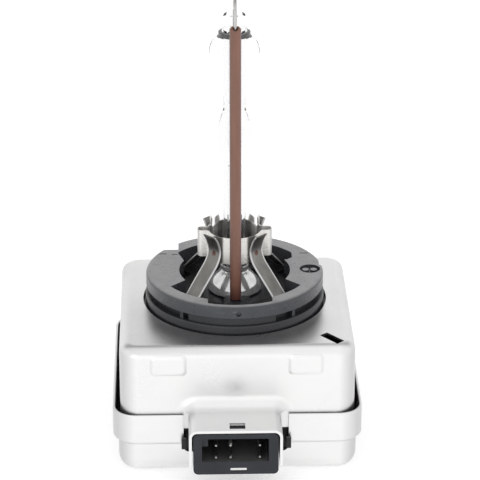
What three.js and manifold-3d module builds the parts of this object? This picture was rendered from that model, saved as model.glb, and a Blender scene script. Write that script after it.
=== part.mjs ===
// Xenon headlight bulb with its ignitor box: burner, keyed plastic cap, pressed steel case,
// supply connector, and the ignitor parts inside. Millimetres, +Z up. The burner's axis is the
// Z axis, the case stands on z = 0, and the connector points along -Y.
import * as THREE from 'three'
import { mergeVertices } from 'three/addons/utils/BufferGeometryUtils.js'
import Module from 'manifold-3d'

const wasm = await Module()
wasm.setup()

// ---------------------------------------------------------------- driving dimensions
const CASE_HEIGHT = 25.3            // from the floor to the flat top of the cover
const CASE_CENTRE_Y = -1.6          // the case sits a little forward of the burner's axis
const COVER_HALF_X = 21.3
const COVER_HALF_Y = 20.7
const SHEET = 0.5                   // pressed steel sheet
const GAP = 0.3                     // clearance between neighbouring pieces
const FINE_GAP = 0.15               // clearance on pins and wires

const TRAY_STEP_Z = 6.1             // where the tray widens into its band
const TRAY_RIM_Z = 12.4
const CAP_TOP_Z = 30.85             // top face of the plastic cap, the seat in the headlamp
const LIGHT_CENTRE_Z = CAP_TOP_Z + 27.1
const CAP_RADIUS = 16.45

const SOCKET_X = [-8.2, 7.0]        // outside of the connector, left and right
const SOCKET_Z = [5.05, 13.0]
const SOCKET_FRONT_Y = -31.8
const CAVITY_X = [-6.65, 5.26]
const CAVITY_Z = [7.5, 12.14]

const JACKET_RADIUS = 4.6
const LEG_TUBE_RADIUS = 2.0         // the quartz legs at both ends of the arc tube
const BURNER_TOP_Z = 80.7
const CLAMP_Z = [34.0, 39.2]
const CERAMIC_Y = -6.5              // the insulated return lead runs in front of the burner

const ROUND = 40                    // segments of a large round
const SMALL_ROUND = 20              // segments of a small round

// ---------------------------------------------------------------- materials
const finish = (color, roughness, metalness) => ({ color, roughness, metalness })
const FINISHES = {
  steel: finish(0xdcdcda, 0.32, 0.9),
  bright: finish(0xf0eee8, 0.18, 1.0),
  spring: finish(0x8d8880, 0.35, 1.0),
  black: finish(0x3a3c40, 0.45, 0.0),
  quartz: finish(0xf4f6f8, 0.05, 0.0),
  ceramic: finish(0x86604f, 0.6, 0.0),
  tungsten: finish(0x77777a, 0.4, 1.0),
  nickel: finish(0x9a968c, 0.35, 1.0),
  ferrite: finish(0x2b2a2c, 0.7, 0.1),
  copper: finish(0xb4673a, 0.35, 0.9),
  tin: finish(0xd6d4cc, 0.3, 1.0),
  board: finish(0x2f5a3a, 0.6, 0.0),
  film: finish(0x9c3b22, 0.5, 0.0),
  alumina: finish(0xe8e4da, 0.5, 0.0),
  salt: finish(0xd8c77a, 0.6, 0.0),
}

// ---------------------------------------------------------------- geometry helpers
const vec = (x, y, z) => new THREE.Vector3(x, y, z)

function signedVolume(position, index) {
  const a = new THREE.Vector3()
  const b = new THREE.Vector3()
  const c = new THREE.Vector3()
  let six = 0
  for (let i = 0; i < index.length; i += 3) {
    a.fromArray(position, 3 * index[i])
    b.fromArray(position, 3 * index[i + 1])
    c.fromArray(position, 3 * index[i + 2])
    six += a.dot(b.cross(c))
  }
  return six
}

// One closed body: shared vertices merged, slivers dropped, faces pointing out.
function closed(geometry) {
  const bare = new THREE.BufferGeometry()
  bare.setAttribute('position', geometry.getAttribute('position').clone())
  if (geometry.index) bare.setIndex(geometry.index.clone())
  const merged = mergeVertices(bare, 1e-4)
  const position = merged.getAttribute('position').array
  let index = []
  const source = merged.index.array
  for (let i = 0; i < source.length; i += 3) {
    const [a, b, c] = [source[i], source[i + 1], source[i + 2]]
    if (a !== b && b !== c && c !== a) index.push(a, b, c)
  }
  if (signedVolume(position, index) < 0) index = index.reverse()
  merged.setIndex(index)
  return merged
}

function solid(geometry) {
  const body = closed(geometry)
  return new wasm.Manifold(new wasm.Mesh({
    numProp: 3,
    vertProperties: new Float32Array(body.getAttribute('position').array),
    triVerts: new Uint32Array(body.index.array),
  }))
}

function fromSolid(manifold) {
  const mesh = manifold.getMesh()
  const geometry = new THREE.BufferGeometry()
  geometry.setAttribute('position', new THREE.BufferAttribute(mesh.vertProperties, 3))
  geometry.setIndex(new THREE.BufferAttribute(mesh.triVerts, 1))
  return geometry
}

function box(xs, ys, zs) {
  const geometry = new THREE.BoxGeometry(xs[1] - xs[0], ys[1] - ys[0], zs[1] - zs[0])
  return geometry.translate((xs[0] + xs[1]) / 2, (ys[0] + ys[1]) / 2, (zs[0] + zs[1]) / 2)
}

// A profile of [radius, z] points turned about the Z axis. It starts and ends on the axis,
// or closes on itself when ring is true.
function turned(profile, segments = ROUND, ring = true) {
  const points = profile.map(([r, z]) => new THREE.Vector2(r, z))
  if (ring) points.push(points[0].clone())
  return closed(new THREE.LatheGeometry(points, segments).rotateX(Math.PI / 2))
}

const cylinder = (radius, z0, z1, segments = SMALL_ROUND) =>
  turned([[0, z0], [radius, z0], [radius, z1], [0, z1]], segments, false)

const pipe = (inner, outer, z0, z1, segments = ROUND) =>
  turned([[inner, z0], [outer, z0], [outer, z1], [inner, z1]], segments)

// A round bar lying along X.
const barAlongX = (geometry) => geometry.rotateY(Math.PI / 2)

function roundedLoop(cx, cy, hx, hy, radius, z, steps = 4) {
  const loop = []
  const corners = [[1, 1], [-1, 1], [-1, -1], [1, -1]]
  corners.forEach(([sx, sy], quarter) => {
    for (let i = 0; i <= steps; i += 1) {
      const angle = (quarter + i / steps) * Math.PI / 2
      loop.push(vec(
        cx + sx * (hx - radius) + radius * Math.cos(angle),
        cy + sy * (hy - radius) + radius * Math.sin(angle),
        z,
      ))
    }
  })
  return loop
}

// A closed skin over a stack of loops with equal point counts, capped flat at both ends.
function skin(loops) {
  const count = loops[0].length
  const points = loops.flat()
  const index = []
  for (let row = 0; row + 1 < loops.length; row += 1) {
    for (let i = 0; i < count; i += 1) {
      const a = row * count + i
      const b = row * count + (i + 1) % count
      index.push(a, b, b + count, a, b + count, a + count)
    }
  }
  const addCap = (loop, first, flip) => {
    const middle = loop.reduce((sum, p) => sum.add(p), new THREE.Vector3()).divideScalar(count)
    const centre = points.push(middle) - 1
    for (let i = 0; i < count; i += 1) {
      const a = first + i
      const b = first + (i + 1) % count
      if (flip) index.push(centre, b, a)
      else index.push(centre, a, b)
    }
  }
  addCap(loops[0], 0, true)
  addCap(loops[loops.length - 1], (loops.length - 1) * count, false)
  const geometry = new THREE.BufferGeometry().setFromPoints(points)
  geometry.setIndex(index)
  return closed(geometry)
}

// A rounded box as loops: the bottom and top edges are quarter rounds of the given radii.
function tubLoops({ hx, hy, corner, z0, z1, bottomRound = 0, topRound = 0, steps = 4 }) {
  const loops = []
  const addLoop = (inset, z) => loops.push(
    roundedLoop(0, CASE_CENTRE_Y, hx - inset, hy - inset, Math.max(corner - inset, 0.4), z))
  for (let i = 0; i < steps && bottomRound > 0; i += 1) {
    const angle = (i / steps) * Math.PI / 2
    addLoop(bottomRound * (1 - Math.sin(angle)), z0 + bottomRound * (1 - Math.cos(angle)))
  }
  addLoop(0, z0 + bottomRound)
  addLoop(0, z1 - topRound)
  for (let i = 1; i <= steps && topRound > 0; i += 1) {
    const angle = (i / steps) * Math.PI / 2
    addLoop(topRound * (1 - Math.cos(angle)), z1 - topRound * (1 - Math.sin(angle)))
  }
  return loops
}

// The outline of a strip of even thickness along a flat centre line.
function ribbonShape(line, thickness) {
  const sides = [[], []]
  line.forEach((point, i) => {
    const before = line[Math.max(i - 1, 0)]
    const after = line[Math.min(i + 1, line.length - 1)]
    const along = after.clone().sub(before).normalize()
    const normal = new THREE.Vector2(-along.y, along.x).multiplyScalar(thickness / 2)
    sides[0].push(point.clone().add(normal))
    sides[1].push(point.clone().sub(normal))
  })
  return new THREE.Shape([...sides[0], ...sides[1].reverse()])
}

const smoothLine = (points, divisions) =>
  new THREE.SplineCurve(points.map(([x, y]) => new THREE.Vector2(x, y))).getPoints(divisions)

const extruded = (shape, depth) => closed(new THREE.ExtrudeGeometry(shape, {
  depth, bevelEnabled: false, curveSegments: 8,
}))

// A wire along a smooth curve through the given points.
function wire(points, radius, steps) {
  const section = new THREE.Shape()
  section.absarc(0, 0, radius, 0, 2 * Math.PI)
  return closed(new THREE.ExtrudeGeometry(section, {
    steps,
    curveSegments: 4,
    bevelEnabled: false,
    extrudePath: new THREE.CatmullRomCurve3(points, false, 'centripetal'),
  }))
}

// ---------------------------------------------------------------- the model
const lamp = new THREE.Group()

function add(name, geometry, finishName, place = {}) {
  const { color, roughness, metalness } = FINISHES[finishName]
  const material = new THREE.MeshStandardMaterial({ color, roughness, metalness })
  const mesh = new THREE.Mesh(geometry, material)
  mesh.name = name
  if (place.position) mesh.position.copy(place.position)
  if (place.turn) mesh.rotation.z = place.turn
  lamp.add(mesh)
}

// ---------------------------------------------------------------- case
const TRAY_HALF_X = 21.7
const TRAY_HALF_Y = 20.5
const BAND_OUT = 1.0                // how far the band stands out of the tray below it
const CASE_CORNER = 3.4
const TRAY_BOTTOM_ROUND = 3.0
const STEP_SLOPE = 0.7              // height over which the tray widens into the band
const STEP_SLOPE_INSIDE = 1.0
const COVER_BOTTOM_Z = 7.4
const COVER_TOP_ROUND = 2.0
const CUTOUT_X = [-9.86, 9.2]       // gap in the tray for the connector
const CUTOUT_BOTTOM_Z = 4.5

function bottomTray() {
  const outer = tubLoops({
    hx: TRAY_HALF_X, hy: TRAY_HALF_Y, corner: CASE_CORNER, z0: 0, z1: TRAY_STEP_Z,
    bottomRound: TRAY_BOTTOM_ROUND,
  })
  const band = (inset, z) => roundedLoop(
    0, CASE_CENTRE_Y, TRAY_HALF_X + BAND_OUT - inset, TRAY_HALF_Y + BAND_OUT - inset,
    CASE_CORNER + BAND_OUT - inset, z)
  const inner = tubLoops({
    hx: TRAY_HALF_X - SHEET, hy: TRAY_HALF_Y - SHEET, corner: CASE_CORNER - SHEET,
    z0: SHEET, z1: TRAY_STEP_Z, bottomRound: TRAY_BOTTOM_ROUND - SHEET,
  })
  const shell = skin([
    ...outer,
    band(0, TRAY_STEP_Z + STEP_SLOPE),
    band(0, TRAY_RIM_Z),
    band(SHEET, TRAY_RIM_Z),
    band(SHEET, TRAY_STEP_Z + STEP_SLOPE_INSIDE),
    ...inner.reverse(),
  ])
  const frontY = CASE_CENTRE_Y - TRAY_HALF_Y
  const cutout = box(CUTOUT_X, [frontY - 3, frontY + 2], [CUTOUT_BOTTOM_Z, TRAY_RIM_Z + 1])
  return fromSolid(solid(shell).subtract(solid(cutout)))
}

const SLEEVE_MARGIN = 0.75          // from the connector to the outside of the sleeve round it
const SLEEVE_X = [SOCKET_X[0] - SLEEVE_MARGIN, SOCKET_X[1] + SLEEVE_MARGIN]
const SLEEVE_TOP_Z = SOCKET_Z[1] + SLEEVE_MARGIN
const SLEEVE_BOTTOM_Z = 6.6
const SLEEVE_ROUND = 1.5
const FLARE = 2.4                   // radius of the flare from the cover's wall to the sleeve
const FLARE_BOTTOM_Z = TRAY_RIM_Z + 0.6
const LATCH_WINDOW = { x: [-1.7, 1.1], y: [-31.0, -28.8] }
const EMBOSSED = { spans: [[-15.4, -9.6], [9.5, 15.0]], z: [20.3, 23.8], out: 0.25 }
const KEY_SLOT = { length: 4.6, width: 1.8, x: 17.1, y: -18.4, turn: -0.88 }
const CAP_HOLE_RADIUS = CAP_RADIUS + 0.6
const LUG_NOTCH = { margin: 0.2, topZ: 9.4 }    // room for the housing's lugs in the front wall

// Cross-section of the sleeve, grown outwards: square at the bottom, rounded at the top.
function sleeveLoop(grow, y, bottomZ, round) {
  const left = SLEEVE_X[0] - grow
  const right = SLEEVE_X[1] + grow
  const top = SLEEVE_TOP_Z + grow
  const radius = Math.max(round + grow, 0.3)
  const loop = [vec(left, y, bottomZ), vec(right, y, bottomZ)]
  const corners = [[right - radius, 0], [left + radius, Math.PI / 2]]
  corners.forEach(([x, start]) => {
    for (let i = 0; i <= 4; i += 1) {
      const angle = start + (i / 4) * Math.PI / 2
      loop.push(vec(x + radius * Math.cos(angle), y, top - radius + radius * Math.sin(angle)))
    }
  })
  return loop
}

// The hollow curve that leads from the cover's front wall out to the sleeve, above the tray.
function coverFlare(wallY) {
  const loops = [sleeveLoop(FLARE, wallY + 0.1, SLEEVE_BOTTOM_Z, SLEEVE_ROUND)]
  for (let i = 0; i <= 4; i += 1) {
    const forward = FLARE * (i / 4)
    const grow = FLARE - Math.sqrt(FLARE ** 2 - (FLARE - forward) ** 2)
    loops.push(sleeveLoop(grow, wallY - forward, SLEEVE_BOTTOM_Z, SLEEVE_ROUND))
  }
  const below = box([-20, 20], [wallY - FLARE - 1, wallY + 1], [0, FLARE_BOTTOM_Z])
  return solid(skin(loops)).subtract(solid(below))
}

function topCover() {
  const wallY = CASE_CENTRE_Y - COVER_HALF_Y
  const outerLoops = tubLoops({
    hx: COVER_HALF_X, hy: COVER_HALF_Y, corner: CASE_CORNER, z0: COVER_BOTTOM_Z,
    z1: CASE_HEIGHT, topRound: COVER_TOP_ROUND,
  })
  const innerLoops = tubLoops({
    hx: COVER_HALF_X - SHEET, hy: COVER_HALF_Y - SHEET, corner: CASE_CORNER - SHEET,
    z0: COVER_BOTTOM_Z - 5, z1: CASE_HEIGHT - SHEET, topRound: COVER_TOP_ROUND - SHEET,
  })
  const sleeveOuter = skin([
    sleeveLoop(0, wallY + 0.2, SLEEVE_BOTTOM_Z, SLEEVE_ROUND),
    sleeveLoop(0, SOCKET_FRONT_Y, SLEEVE_BOTTOM_Z, SLEEVE_ROUND),
  ])
  const sleeveInner = skin([
    sleeveLoop(-SHEET, wallY + 2, SLEEVE_BOTTOM_Z - 5, SLEEVE_ROUND),
    sleeveLoop(-SHEET, SOCKET_FRONT_Y - 2, SLEEVE_BOTTOM_Z - 5, SLEEVE_ROUND),
  ])
  const pads = EMBOSSED.spans.map((xs) =>
    solid(box(xs, [wallY - EMBOSSED.out, wallY + 0.1], EMBOSSED.z)))
  const keySlot = new THREE.BoxGeometry(KEY_SLOT.length, KEY_SLOT.width, 3)
    .rotateZ(KEY_SLOT.turn)
    .translate(KEY_SLOT.x, KEY_SLOT.y, CASE_HEIGHT)
  const latchWindow = box(LATCH_WINDOW.x, LATCH_WINDOW.y, [SLEEVE_TOP_Z - 1.25, SLEEVE_TOP_Z + 1.25])
  const capHole = cylinder(CAP_HOLE_RADIUS, CASE_HEIGHT - 2, CASE_HEIGHT + 2, ROUND)
  const lugNotch = box(
    [CUTOUT_X[0] - LUG_NOTCH.margin, CUTOUT_X[1] + LUG_NOTCH.margin],
    [wallY - 0.6, wallY + 1], [0, LUG_NOTCH.topZ])
  let cover = solid(skin(outerLoops))
    .add(solid(sleeveOuter))
    .add(coverFlare(wallY))
  pads.forEach((pad) => { cover = cover.add(pad) })
  cover = cover.subtract(solid(skin(innerLoops)))
    .subtract(solid(sleeveInner))
  const cuts = [keySlot, latchWindow, capHole, lugNotch]
  cuts.forEach((cut) => { cover = cover.subtract(solid(cut)) })
  return fromSolid(cover)
}

// ---------------------------------------------------------------- inner housing and connector
const HOUSING_HALF_X = 20.3
const HOUSING_HALF_Y = 19.8
const HOUSING_WALL = 1.0
const HOUSING_FLOOR_Z = 0.9
const HOUSING_TOP_Z = 21.8
const HOUSING_CORNER = 2.8
const HOUSING_BOTTOM_ROUND = 2.4
const LUG = { z: [6.1, 8.2], neckTopZ: 7.0, inside: 0.55, clear: 0.1, hook: 0.4, headDepth: 1.2 }

// A lug of the housing that reaches out past the edge of the tray's cutout and hooks over it.
function snapLug(side) {
  const edge = side < 0 ? CUTOUT_X[0] : CUTOUT_X[1]
  const span = (from, to) => [edge + side * from, edge + side * to].sort((a, b) => a - b)
  const trayFront = CASE_CENTRE_Y - TRAY_HALF_Y - BAND_OUT
  const frontY = trayFront - LUG.headDepth
  const neckBackY = CASE_CENTRE_Y - HOUSING_HALF_Y + 0.5
  const neckZ = [LUG.z[0], LUG.neckTopZ]
  const neck = box(span(-LUG.inside, -LUG.clear), [frontY + 0.2, neckBackY], neckZ)
  const head = box(span(-LUG.inside, LUG.hook), [frontY, trayFront - GAP], LUG.z)
  return solid(neck).add(solid(head))
}

function ignitorHousing() {
  const outer = tubLoops({
    hx: HOUSING_HALF_X, hy: HOUSING_HALF_Y, corner: HOUSING_CORNER, z0: HOUSING_FLOOR_Z,
    z1: HOUSING_TOP_Z, bottomRound: HOUSING_BOTTOM_ROUND,
  })
  const inner = tubLoops({
    hx: HOUSING_HALF_X - HOUSING_WALL, hy: HOUSING_HALF_Y - HOUSING_WALL,
    corner: HOUSING_CORNER - HOUSING_WALL, z0: HOUSING_FLOOR_Z + HOUSING_WALL,
    z1: HOUSING_TOP_Z, bottomRound: HOUSING_BOTTOM_ROUND - HOUSING_WALL,
  })
  const opening = box(
    [SOCKET_X[0] - FINE_GAP, SOCKET_X[1] + FINE_GAP], [-23, -18],
    [SOCKET_Z[0] - FINE_GAP, SOCKET_Z[1] + FINE_GAP])
  const housing = solid(skin([...outer, ...inner.reverse()])).subtract(solid(opening))
  return fromSolid(housing.add(snapLug(-1)).add(snapLug(1)))
}

const PIN_COLUMNS = [-4.13, -1.55, 3.68]
const PIN_ROWS = [10.4, 8.0]
const PIN_HALF = 0.32
const PIN_TIP_HALF = 0.16
const PIN_TAPER = 0.5
const PIN_TIP_Y = -31.0
const PIN_TAIL_Y = -17.4
const PIN_TAIL_STEP = 1.6           // the lower row reaches this much less far inside
const SOCKET_BACK_Y = -20.6
const SOCKET_CORNER = 0.9
const CAVITY_BACK_Y = -23.6
const KEY_RIB = { width: 1.1, bottomZ: 10.3, setBack: 0.8 }
const LATCH_SLOT = { x: [-1.6, 1.35], z: [5.6, 6.3], lip: 0.5, depth: 4.5 }    // open below

function connectorSocket() {
  const middleX = (SOCKET_X[0] + SOCKET_X[1]) / 2
  const middleZ = (SOCKET_Z[0] + SOCKET_Z[1]) / 2
  const halfX = (SOCKET_X[1] - SOCKET_X[0]) / 2
  const halfZ = (SOCKET_Z[1] - SOCKET_Z[0]) / 2
  const loop = (y) => roundedLoop(middleX, middleZ, halfX, halfZ, SOCKET_CORNER, 0)
    .map((p) => vec(p.x, y, p.y))
  let socket = solid(skin([loop(SOCKET_BACK_Y), loop(SOCKET_FRONT_Y)]))
  const cavity = box(CAVITY_X, [SOCKET_FRONT_Y - 1, CAVITY_BACK_Y], CAVITY_Z)
  const keyRib = box(
    [CAVITY_X[0] - 0.2, CAVITY_X[0] + KEY_RIB.width],
    [SOCKET_FRONT_Y + KEY_RIB.setBack, CAVITY_BACK_Y + 0.2],
    [KEY_RIB.bottomZ, CAVITY_Z[1] + 0.2])
  const latchSlot = box(
    LATCH_SLOT.x, [SOCKET_FRONT_Y - 1, SOCKET_FRONT_Y + LATCH_SLOT.depth], LATCH_SLOT.z)
  const slotFloor = box(
    LATCH_SLOT.x, [SOCKET_FRONT_Y + LATCH_SLOT.lip, SOCKET_FRONT_Y + LATCH_SLOT.depth],
    [SOCKET_Z[0] - 1, LATCH_SLOT.z[1]])
  const latchNotch = box(LATCH_WINDOW.x, LATCH_WINDOW.y, [CAVITY_Z[1] - 1, SOCKET_Z[1] + 1])
  socket = socket.subtract(solid(cavity)).add(solid(keyRib))
  for (const cut of [latchSlot, slotFloor, latchNotch]) socket = socket.subtract(solid(cut))
  for (const x of PIN_COLUMNS) {
    for (const z of PIN_ROWS) {
      const half = PIN_HALF + FINE_GAP
      const bore = box([x - half, x + half], [CAVITY_BACK_Y - 1, SOCKET_BACK_Y + 1],
        [z - half, z + half])
      socket = socket.subtract(solid(bore))
    }
  }
  return fromSolid(socket)
}

// A square pin with a chamfered tip.
function contactPin(x, z, tailY) {
  const loop = (half, y) => roundedLoop(x, z, half, half, 0.05, 0, 1)
    .map((p) => vec(p.x, y, p.y))
  return skin([
    loop(PIN_HALF, tailY), loop(PIN_HALF, PIN_TIP_Y + PIN_TAPER), loop(PIN_TIP_HALF, PIN_TIP_Y),
  ])
}

add('bottom_tray', bottomTray(), 'steel')
add('top_cover', topCover(), 'steel')
add('ignitor_housing', ignitorHousing(), 'black')
add('connector_socket', connectorSocket(), 'black')
PIN_COLUMNS.forEach((x, column) => {
  PIN_ROWS.forEach((z, row) => {
    const tailY = PIN_TAIL_Y + row * PIN_TAIL_STEP
    add(`contact_pin_${column + 1}${row ? '_lower' : '_upper'}`, contactPin(x, z, tailY), 'tin')
  })
})

// ---------------------------------------------------------------- plastic cap
const CAP_DISC_Z = 28.2             // underside of the cap's upper disc
const CAP_NECK_RADIUS = 15.2
const CAP_FOOT_RADIUS = CAP_RADIUS + 0.15
const CAP_FOOT_TOP_Z = 26.9
const CAP_FLANGE_RADIUS = 17.8      // hidden under the cover
const CAP_FLANGE_Z = [22.8, CASE_HEIGHT - SHEET - GAP - 0.05]
const CAP_BORE_RADIUS = 12.0
const DECK_Z = 27.0                 // floor of the recess that the springs stand in
const DECK_UNDERSIDE_Z = 25.5
const PAD_RADIUS = 10.3             // the seats on the left and right reach in to here
const RECESS_FRONT_RADIUS = 14.0
const RECESS_BACK_RADIUS = 13.2
// Plan of the recess in front of and behind the two seats, up to those radii.
const FRONT_SECTOR = [[-9.2, -4.6], [-14.5, -9.9], [-14.5, -20], [14.5, -20], [14.5, -9.9], [9.2, -4.6]]
const BACK_SECTOR = [[-9.4, 4.2], [-10.9, 9.2], [-10.9, 20], [10.9, 20], [10.9, 5.2], [9.9, 4.2]]
const RECESS_DEEP = { x: [-5.2, 6.5], y: [-20, -5.6], radius: 15.7 }
const WEB = { x: [-8.7, 7.1], radius: 16.1 }
const RIB_ANGLES = [-128, -50]
const KEYWAY = { x: [-13.4, -10.4], y: [9.3, 18] }
const SIDE_FLAT = { x: [15.8, 18], y: [1.6, 9] }
const DIAL = { x: 14.0, y: -0.1, radius: 1.9, depth: 0.5 }
const LEAD_BOSS = { x: [-2.1, 2.6], y: [-15.2, -5.4], topZ: 27.8 }
const STEM_HOLE_RADIUS = 3.4
const LEAD_HOLE_RADIUS = 1.0
const CAP_CHAMFER = 0.3
const OVER = 1                      // how far a cutting tool reaches past what it cuts

function baseRing() {
  const body = solid(turned([
    [CAP_BORE_RADIUS, CAP_FLANGE_Z[0]], [CAP_FLANGE_RADIUS, CAP_FLANGE_Z[0]],
    [CAP_FLANGE_RADIUS, CAP_FLANGE_Z[1]], [CAP_FOOT_RADIUS, CAP_FLANGE_Z[1]],
    [CAP_FOOT_RADIUS, CAP_FOOT_TOP_Z], [CAP_NECK_RADIUS, CAP_FOOT_TOP_Z],
    [CAP_NECK_RADIUS, CAP_DISC_Z], [CAP_RADIUS, CAP_DISC_Z],
    [CAP_RADIUS, CAP_TOP_Z - CAP_CHAMFER], [CAP_RADIUS - CAP_CHAMFER, CAP_TOP_Z],
    [STEM_HOLE_RADIUS, CAP_TOP_Z], [STEM_HOLE_RADIUS, DECK_UNDERSIDE_Z],
    [CAP_BORE_RADIUS, DECK_UNDERSIDE_Z],
  ], 48))
  const groove = [CAP_FOOT_TOP_Z - 0.1, CAP_DISC_Z + 0.1]
  const web = solid(pipe(CAP_NECK_RADIUS - OVER, WEB.radius, ...groove, 48))
    .intersect(solid(box(WEB.x, [-20, 0], [groove[0] - OVER, groove[1] + OVER])))
  const ribs = RIB_ANGLES.map((degrees) => solid(
    box([CAP_NECK_RADIUS - 0.7, CAP_RADIUS - 0.25], [-0.35, 0.35], groove)
      .rotateZ(degrees * Math.PI / 180)))
  const recessZ = [DECK_Z, CAP_TOP_Z + OVER]
  const recessSolid = (radius) => solid(cylinder(radius, ...recessZ, ROUND))
  const sector = (plan) => solid(extruded(
    new THREE.Shape(plan.map(([x, y]) => new THREE.Vector2(x, y))),
    CAP_TOP_Z - DECK_Z + 3 * OVER).translate(0, 0, DECK_Z - OVER))
  const deep = box(RECESS_DEEP.x, RECESS_DEEP.y, [DECK_Z - OVER, CAP_TOP_Z + 2 * OVER])
  const recess = recessSolid(PAD_RADIUS)
    .add(recessSolid(RECESS_FRONT_RADIUS).intersect(sector(FRONT_SECTOR)))
    .add(recessSolid(RECESS_BACK_RADIUS).intersect(sector(BACK_SECTOR)))
    .add(recessSolid(RECESS_DEEP.radius).intersect(solid(deep)))
  const throughDisc = [CAP_DISC_Z - 0.1, CAP_TOP_Z + OVER]
  const dial = cylinder(DIAL.radius, CAP_TOP_Z - DIAL.depth, CAP_TOP_Z + OVER)
    .translate(DIAL.x, DIAL.y, 0)
  const leadHole = cylinder(LEAD_HOLE_RADIUS, DECK_UNDERSIDE_Z - OVER, CAP_TOP_Z)
    .translate(0, CERAMIC_Y, 0)
  const boss = solid(box(LEAD_BOSS.x, LEAD_BOSS.y, [DECK_Z - 0.2, LEAD_BOSS.topZ]))
  let ring = body.add(web)
  ribs.forEach((rib) => { ring = ring.add(rib) })
  ring = ring.subtract(recess).add(boss)
  const cuts = [box(KEYWAY.x, KEYWAY.y, throughDisc), box(SIDE_FLAT.x, SIDE_FLAT.y, throughDisc),
    dial, leadHole]
  cuts.forEach((cut) => { ring = ring.subtract(solid(cut)) })
  return fromSolid(ring)
}

add('base_ring', baseRing(), 'black')

// ---------------------------------------------------------------- springs that hold the burner
const SPRING_WIDTH = 3.3
const SPRING_SHEET = 0.25
const SPRING_LINE = [               // radius and height along one spring, foot to tip
  [12.2, 27.95], [11.2, 29.0], [9.9, 30.35], [7.9, 32.35], [6.2, 34.1], [5.45, 35.6],
  [5.4, 36.8], [5.8, 38.1], [6.25, 39.0], [6.7, 39.6],
]

function springLeg() {
  const shape = ribbonShape(smoothLine(SPRING_LINE, 22), SPRING_SHEET)
  return extruded(shape, SPRING_WIDTH).translate(0, 0, -SPRING_WIDTH / 2).rotateX(Math.PI / 2)
}

const CLAMP_RADIUS = 4.98           // middle of the clamp's sheet, round the glass
const CLAMP_SHEET = 0.25
const EAR_REACH = 6.75
const EAR_HALF = 1.0
const EAR_ROUND = 0.6
const EAR_NECK = 0.25               // how far past the round part the ear runs parallel
const RING_RADII = [8.2, 9.8]
const RING_SHEET = 0.4
const TAB_RADII = [9.4, 12.5]       // tab under each spring's foot
const SPRING_PLACES = { front_right: -45, back_right: 45, back_left: 135, front_left: -135 }
const STEM_BORE = 2.25
const STEM_COLLAR = [               // radius and height down the outside of the bright collar
  [4.9, 27.2], [4.95, 28.0], [4.6, 28.7], [3.9, 29.6], [3.1, 30.5], [2.6, 31.1],
]
const STEM_RING = { radius: 2.65, z: [31.4, 32.25] }

// Half of the clamp's plan: a round part, then out and back along the ear on the +X side.
function clampPlan() {
  const quarter = []
  const open = Math.asin((EAR_HALF + 0.5) / CLAMP_RADIUS)
  for (let i = 0; i <= 10; i += 1) {
    const angle = -Math.PI / 2 + (i / 10) * (Math.PI / 2 - open)
    quarter.push([CLAMP_RADIUS * Math.cos(angle), CLAMP_RADIUS * Math.sin(angle)])
  }
  quarter.push([CLAMP_RADIUS + EAR_NECK, -EAR_HALF])
  for (let i = 0; i <= 3; i += 1) {
    const angle = -Math.PI / 2 + (i / 3) * (Math.PI / 2)
    quarter.push([
      EAR_REACH - EAR_ROUND + EAR_ROUND * Math.cos(angle),
      -EAR_HALF + EAR_ROUND + EAR_ROUND * Math.sin(angle),
    ])
  }
  const mirror = (points, sx, sy) => points.map(([x, y]) => [x * sx, y * sy])
  return [
    ...quarter,
    ...mirror(quarter, 1, -1).reverse(),
    ...mirror(quarter, -1, -1),
    ...mirror(quarter, -1, 1).reverse(),
  ]
}

function offsetPlan(plan, distance) {
  const count = plan.length
  return plan.map(([x, y], i) => {
    const before = plan[(i + count - 1) % count]
    const after = plan[(i + 1) % count]
    let along = new THREE.Vector2(after[0] - before[0], after[1] - before[1])
    along = along.normalize()
    return new THREE.Vector2(x + along.y * distance, y - along.x * distance)
  })
}

function withoutRepeats(plan) {
  return plan.filter(([x, y], i) => {
    const [px, py] = plan[(i + plan.length - 1) % plan.length]
    return Math.hypot(x - px, y - py) > 1e-3
  })
}

function clampBand() {
  const plan = withoutRepeats(clampPlan())
  const outline = new THREE.Shape(offsetPlan(plan, CLAMP_SHEET / 2))
  outline.holes.push(new THREE.Path(offsetPlan(plan, -CLAMP_SHEET / 2)))
  return extruded(outline, CLAMP_Z[1] - CLAMP_Z[0]).translate(0, 0, CLAMP_Z[0])
}

// The flat ring that the four springs are welded to, with a tab under each foot.
function springRing() {
  const z = [DECK_Z + FINE_GAP, DECK_Z + FINE_GAP + RING_SHEET]
  let ring = solid(pipe(...RING_RADII, ...z))
  for (const degrees of Object.values(SPRING_PLACES)) {
    const tab = box(TAB_RADII, [-SPRING_WIDTH / 2, SPRING_WIDTH / 2], z).rotateZ(degrees * Math.PI / 180)
    ring = ring.add(solid(tab))
  }
  const bossGap = box(
    [LEAD_BOSS.x[0] - GAP, LEAD_BOSS.x[1] + GAP], [LEAD_BOSS.y[0], LEAD_BOSS.y[1] + GAP],
    [z[0] - OVER, z[1] + OVER])
  return fromSolid(ring.subtract(solid(bossGap)))
}

add('clamp_band', clampBand(), 'bright')
for (const [place, degrees] of Object.entries(SPRING_PLACES)) {
  add(`spring_leg_${place}`, springLeg(), 'spring', { turn: degrees * Math.PI / 180 })
}
add('spring_ring', springRing(), 'spring')
add('stem_collar', turned([
  [STEM_BORE, STEM_COLLAR[0][1]], ...STEM_COLLAR, [STEM_BORE, STEM_COLLAR.at(-1)[1]],
], 24), 'bright')
add('stem_ring', pipe(STEM_BORE, STEM_RING.radius, ...STEM_RING.z, SMALL_ROUND), 'bright')

// ---------------------------------------------------------------- burner
const LEG_BOTTOM_Z = 28.6
const LEG_BORE = 1.15
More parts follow.
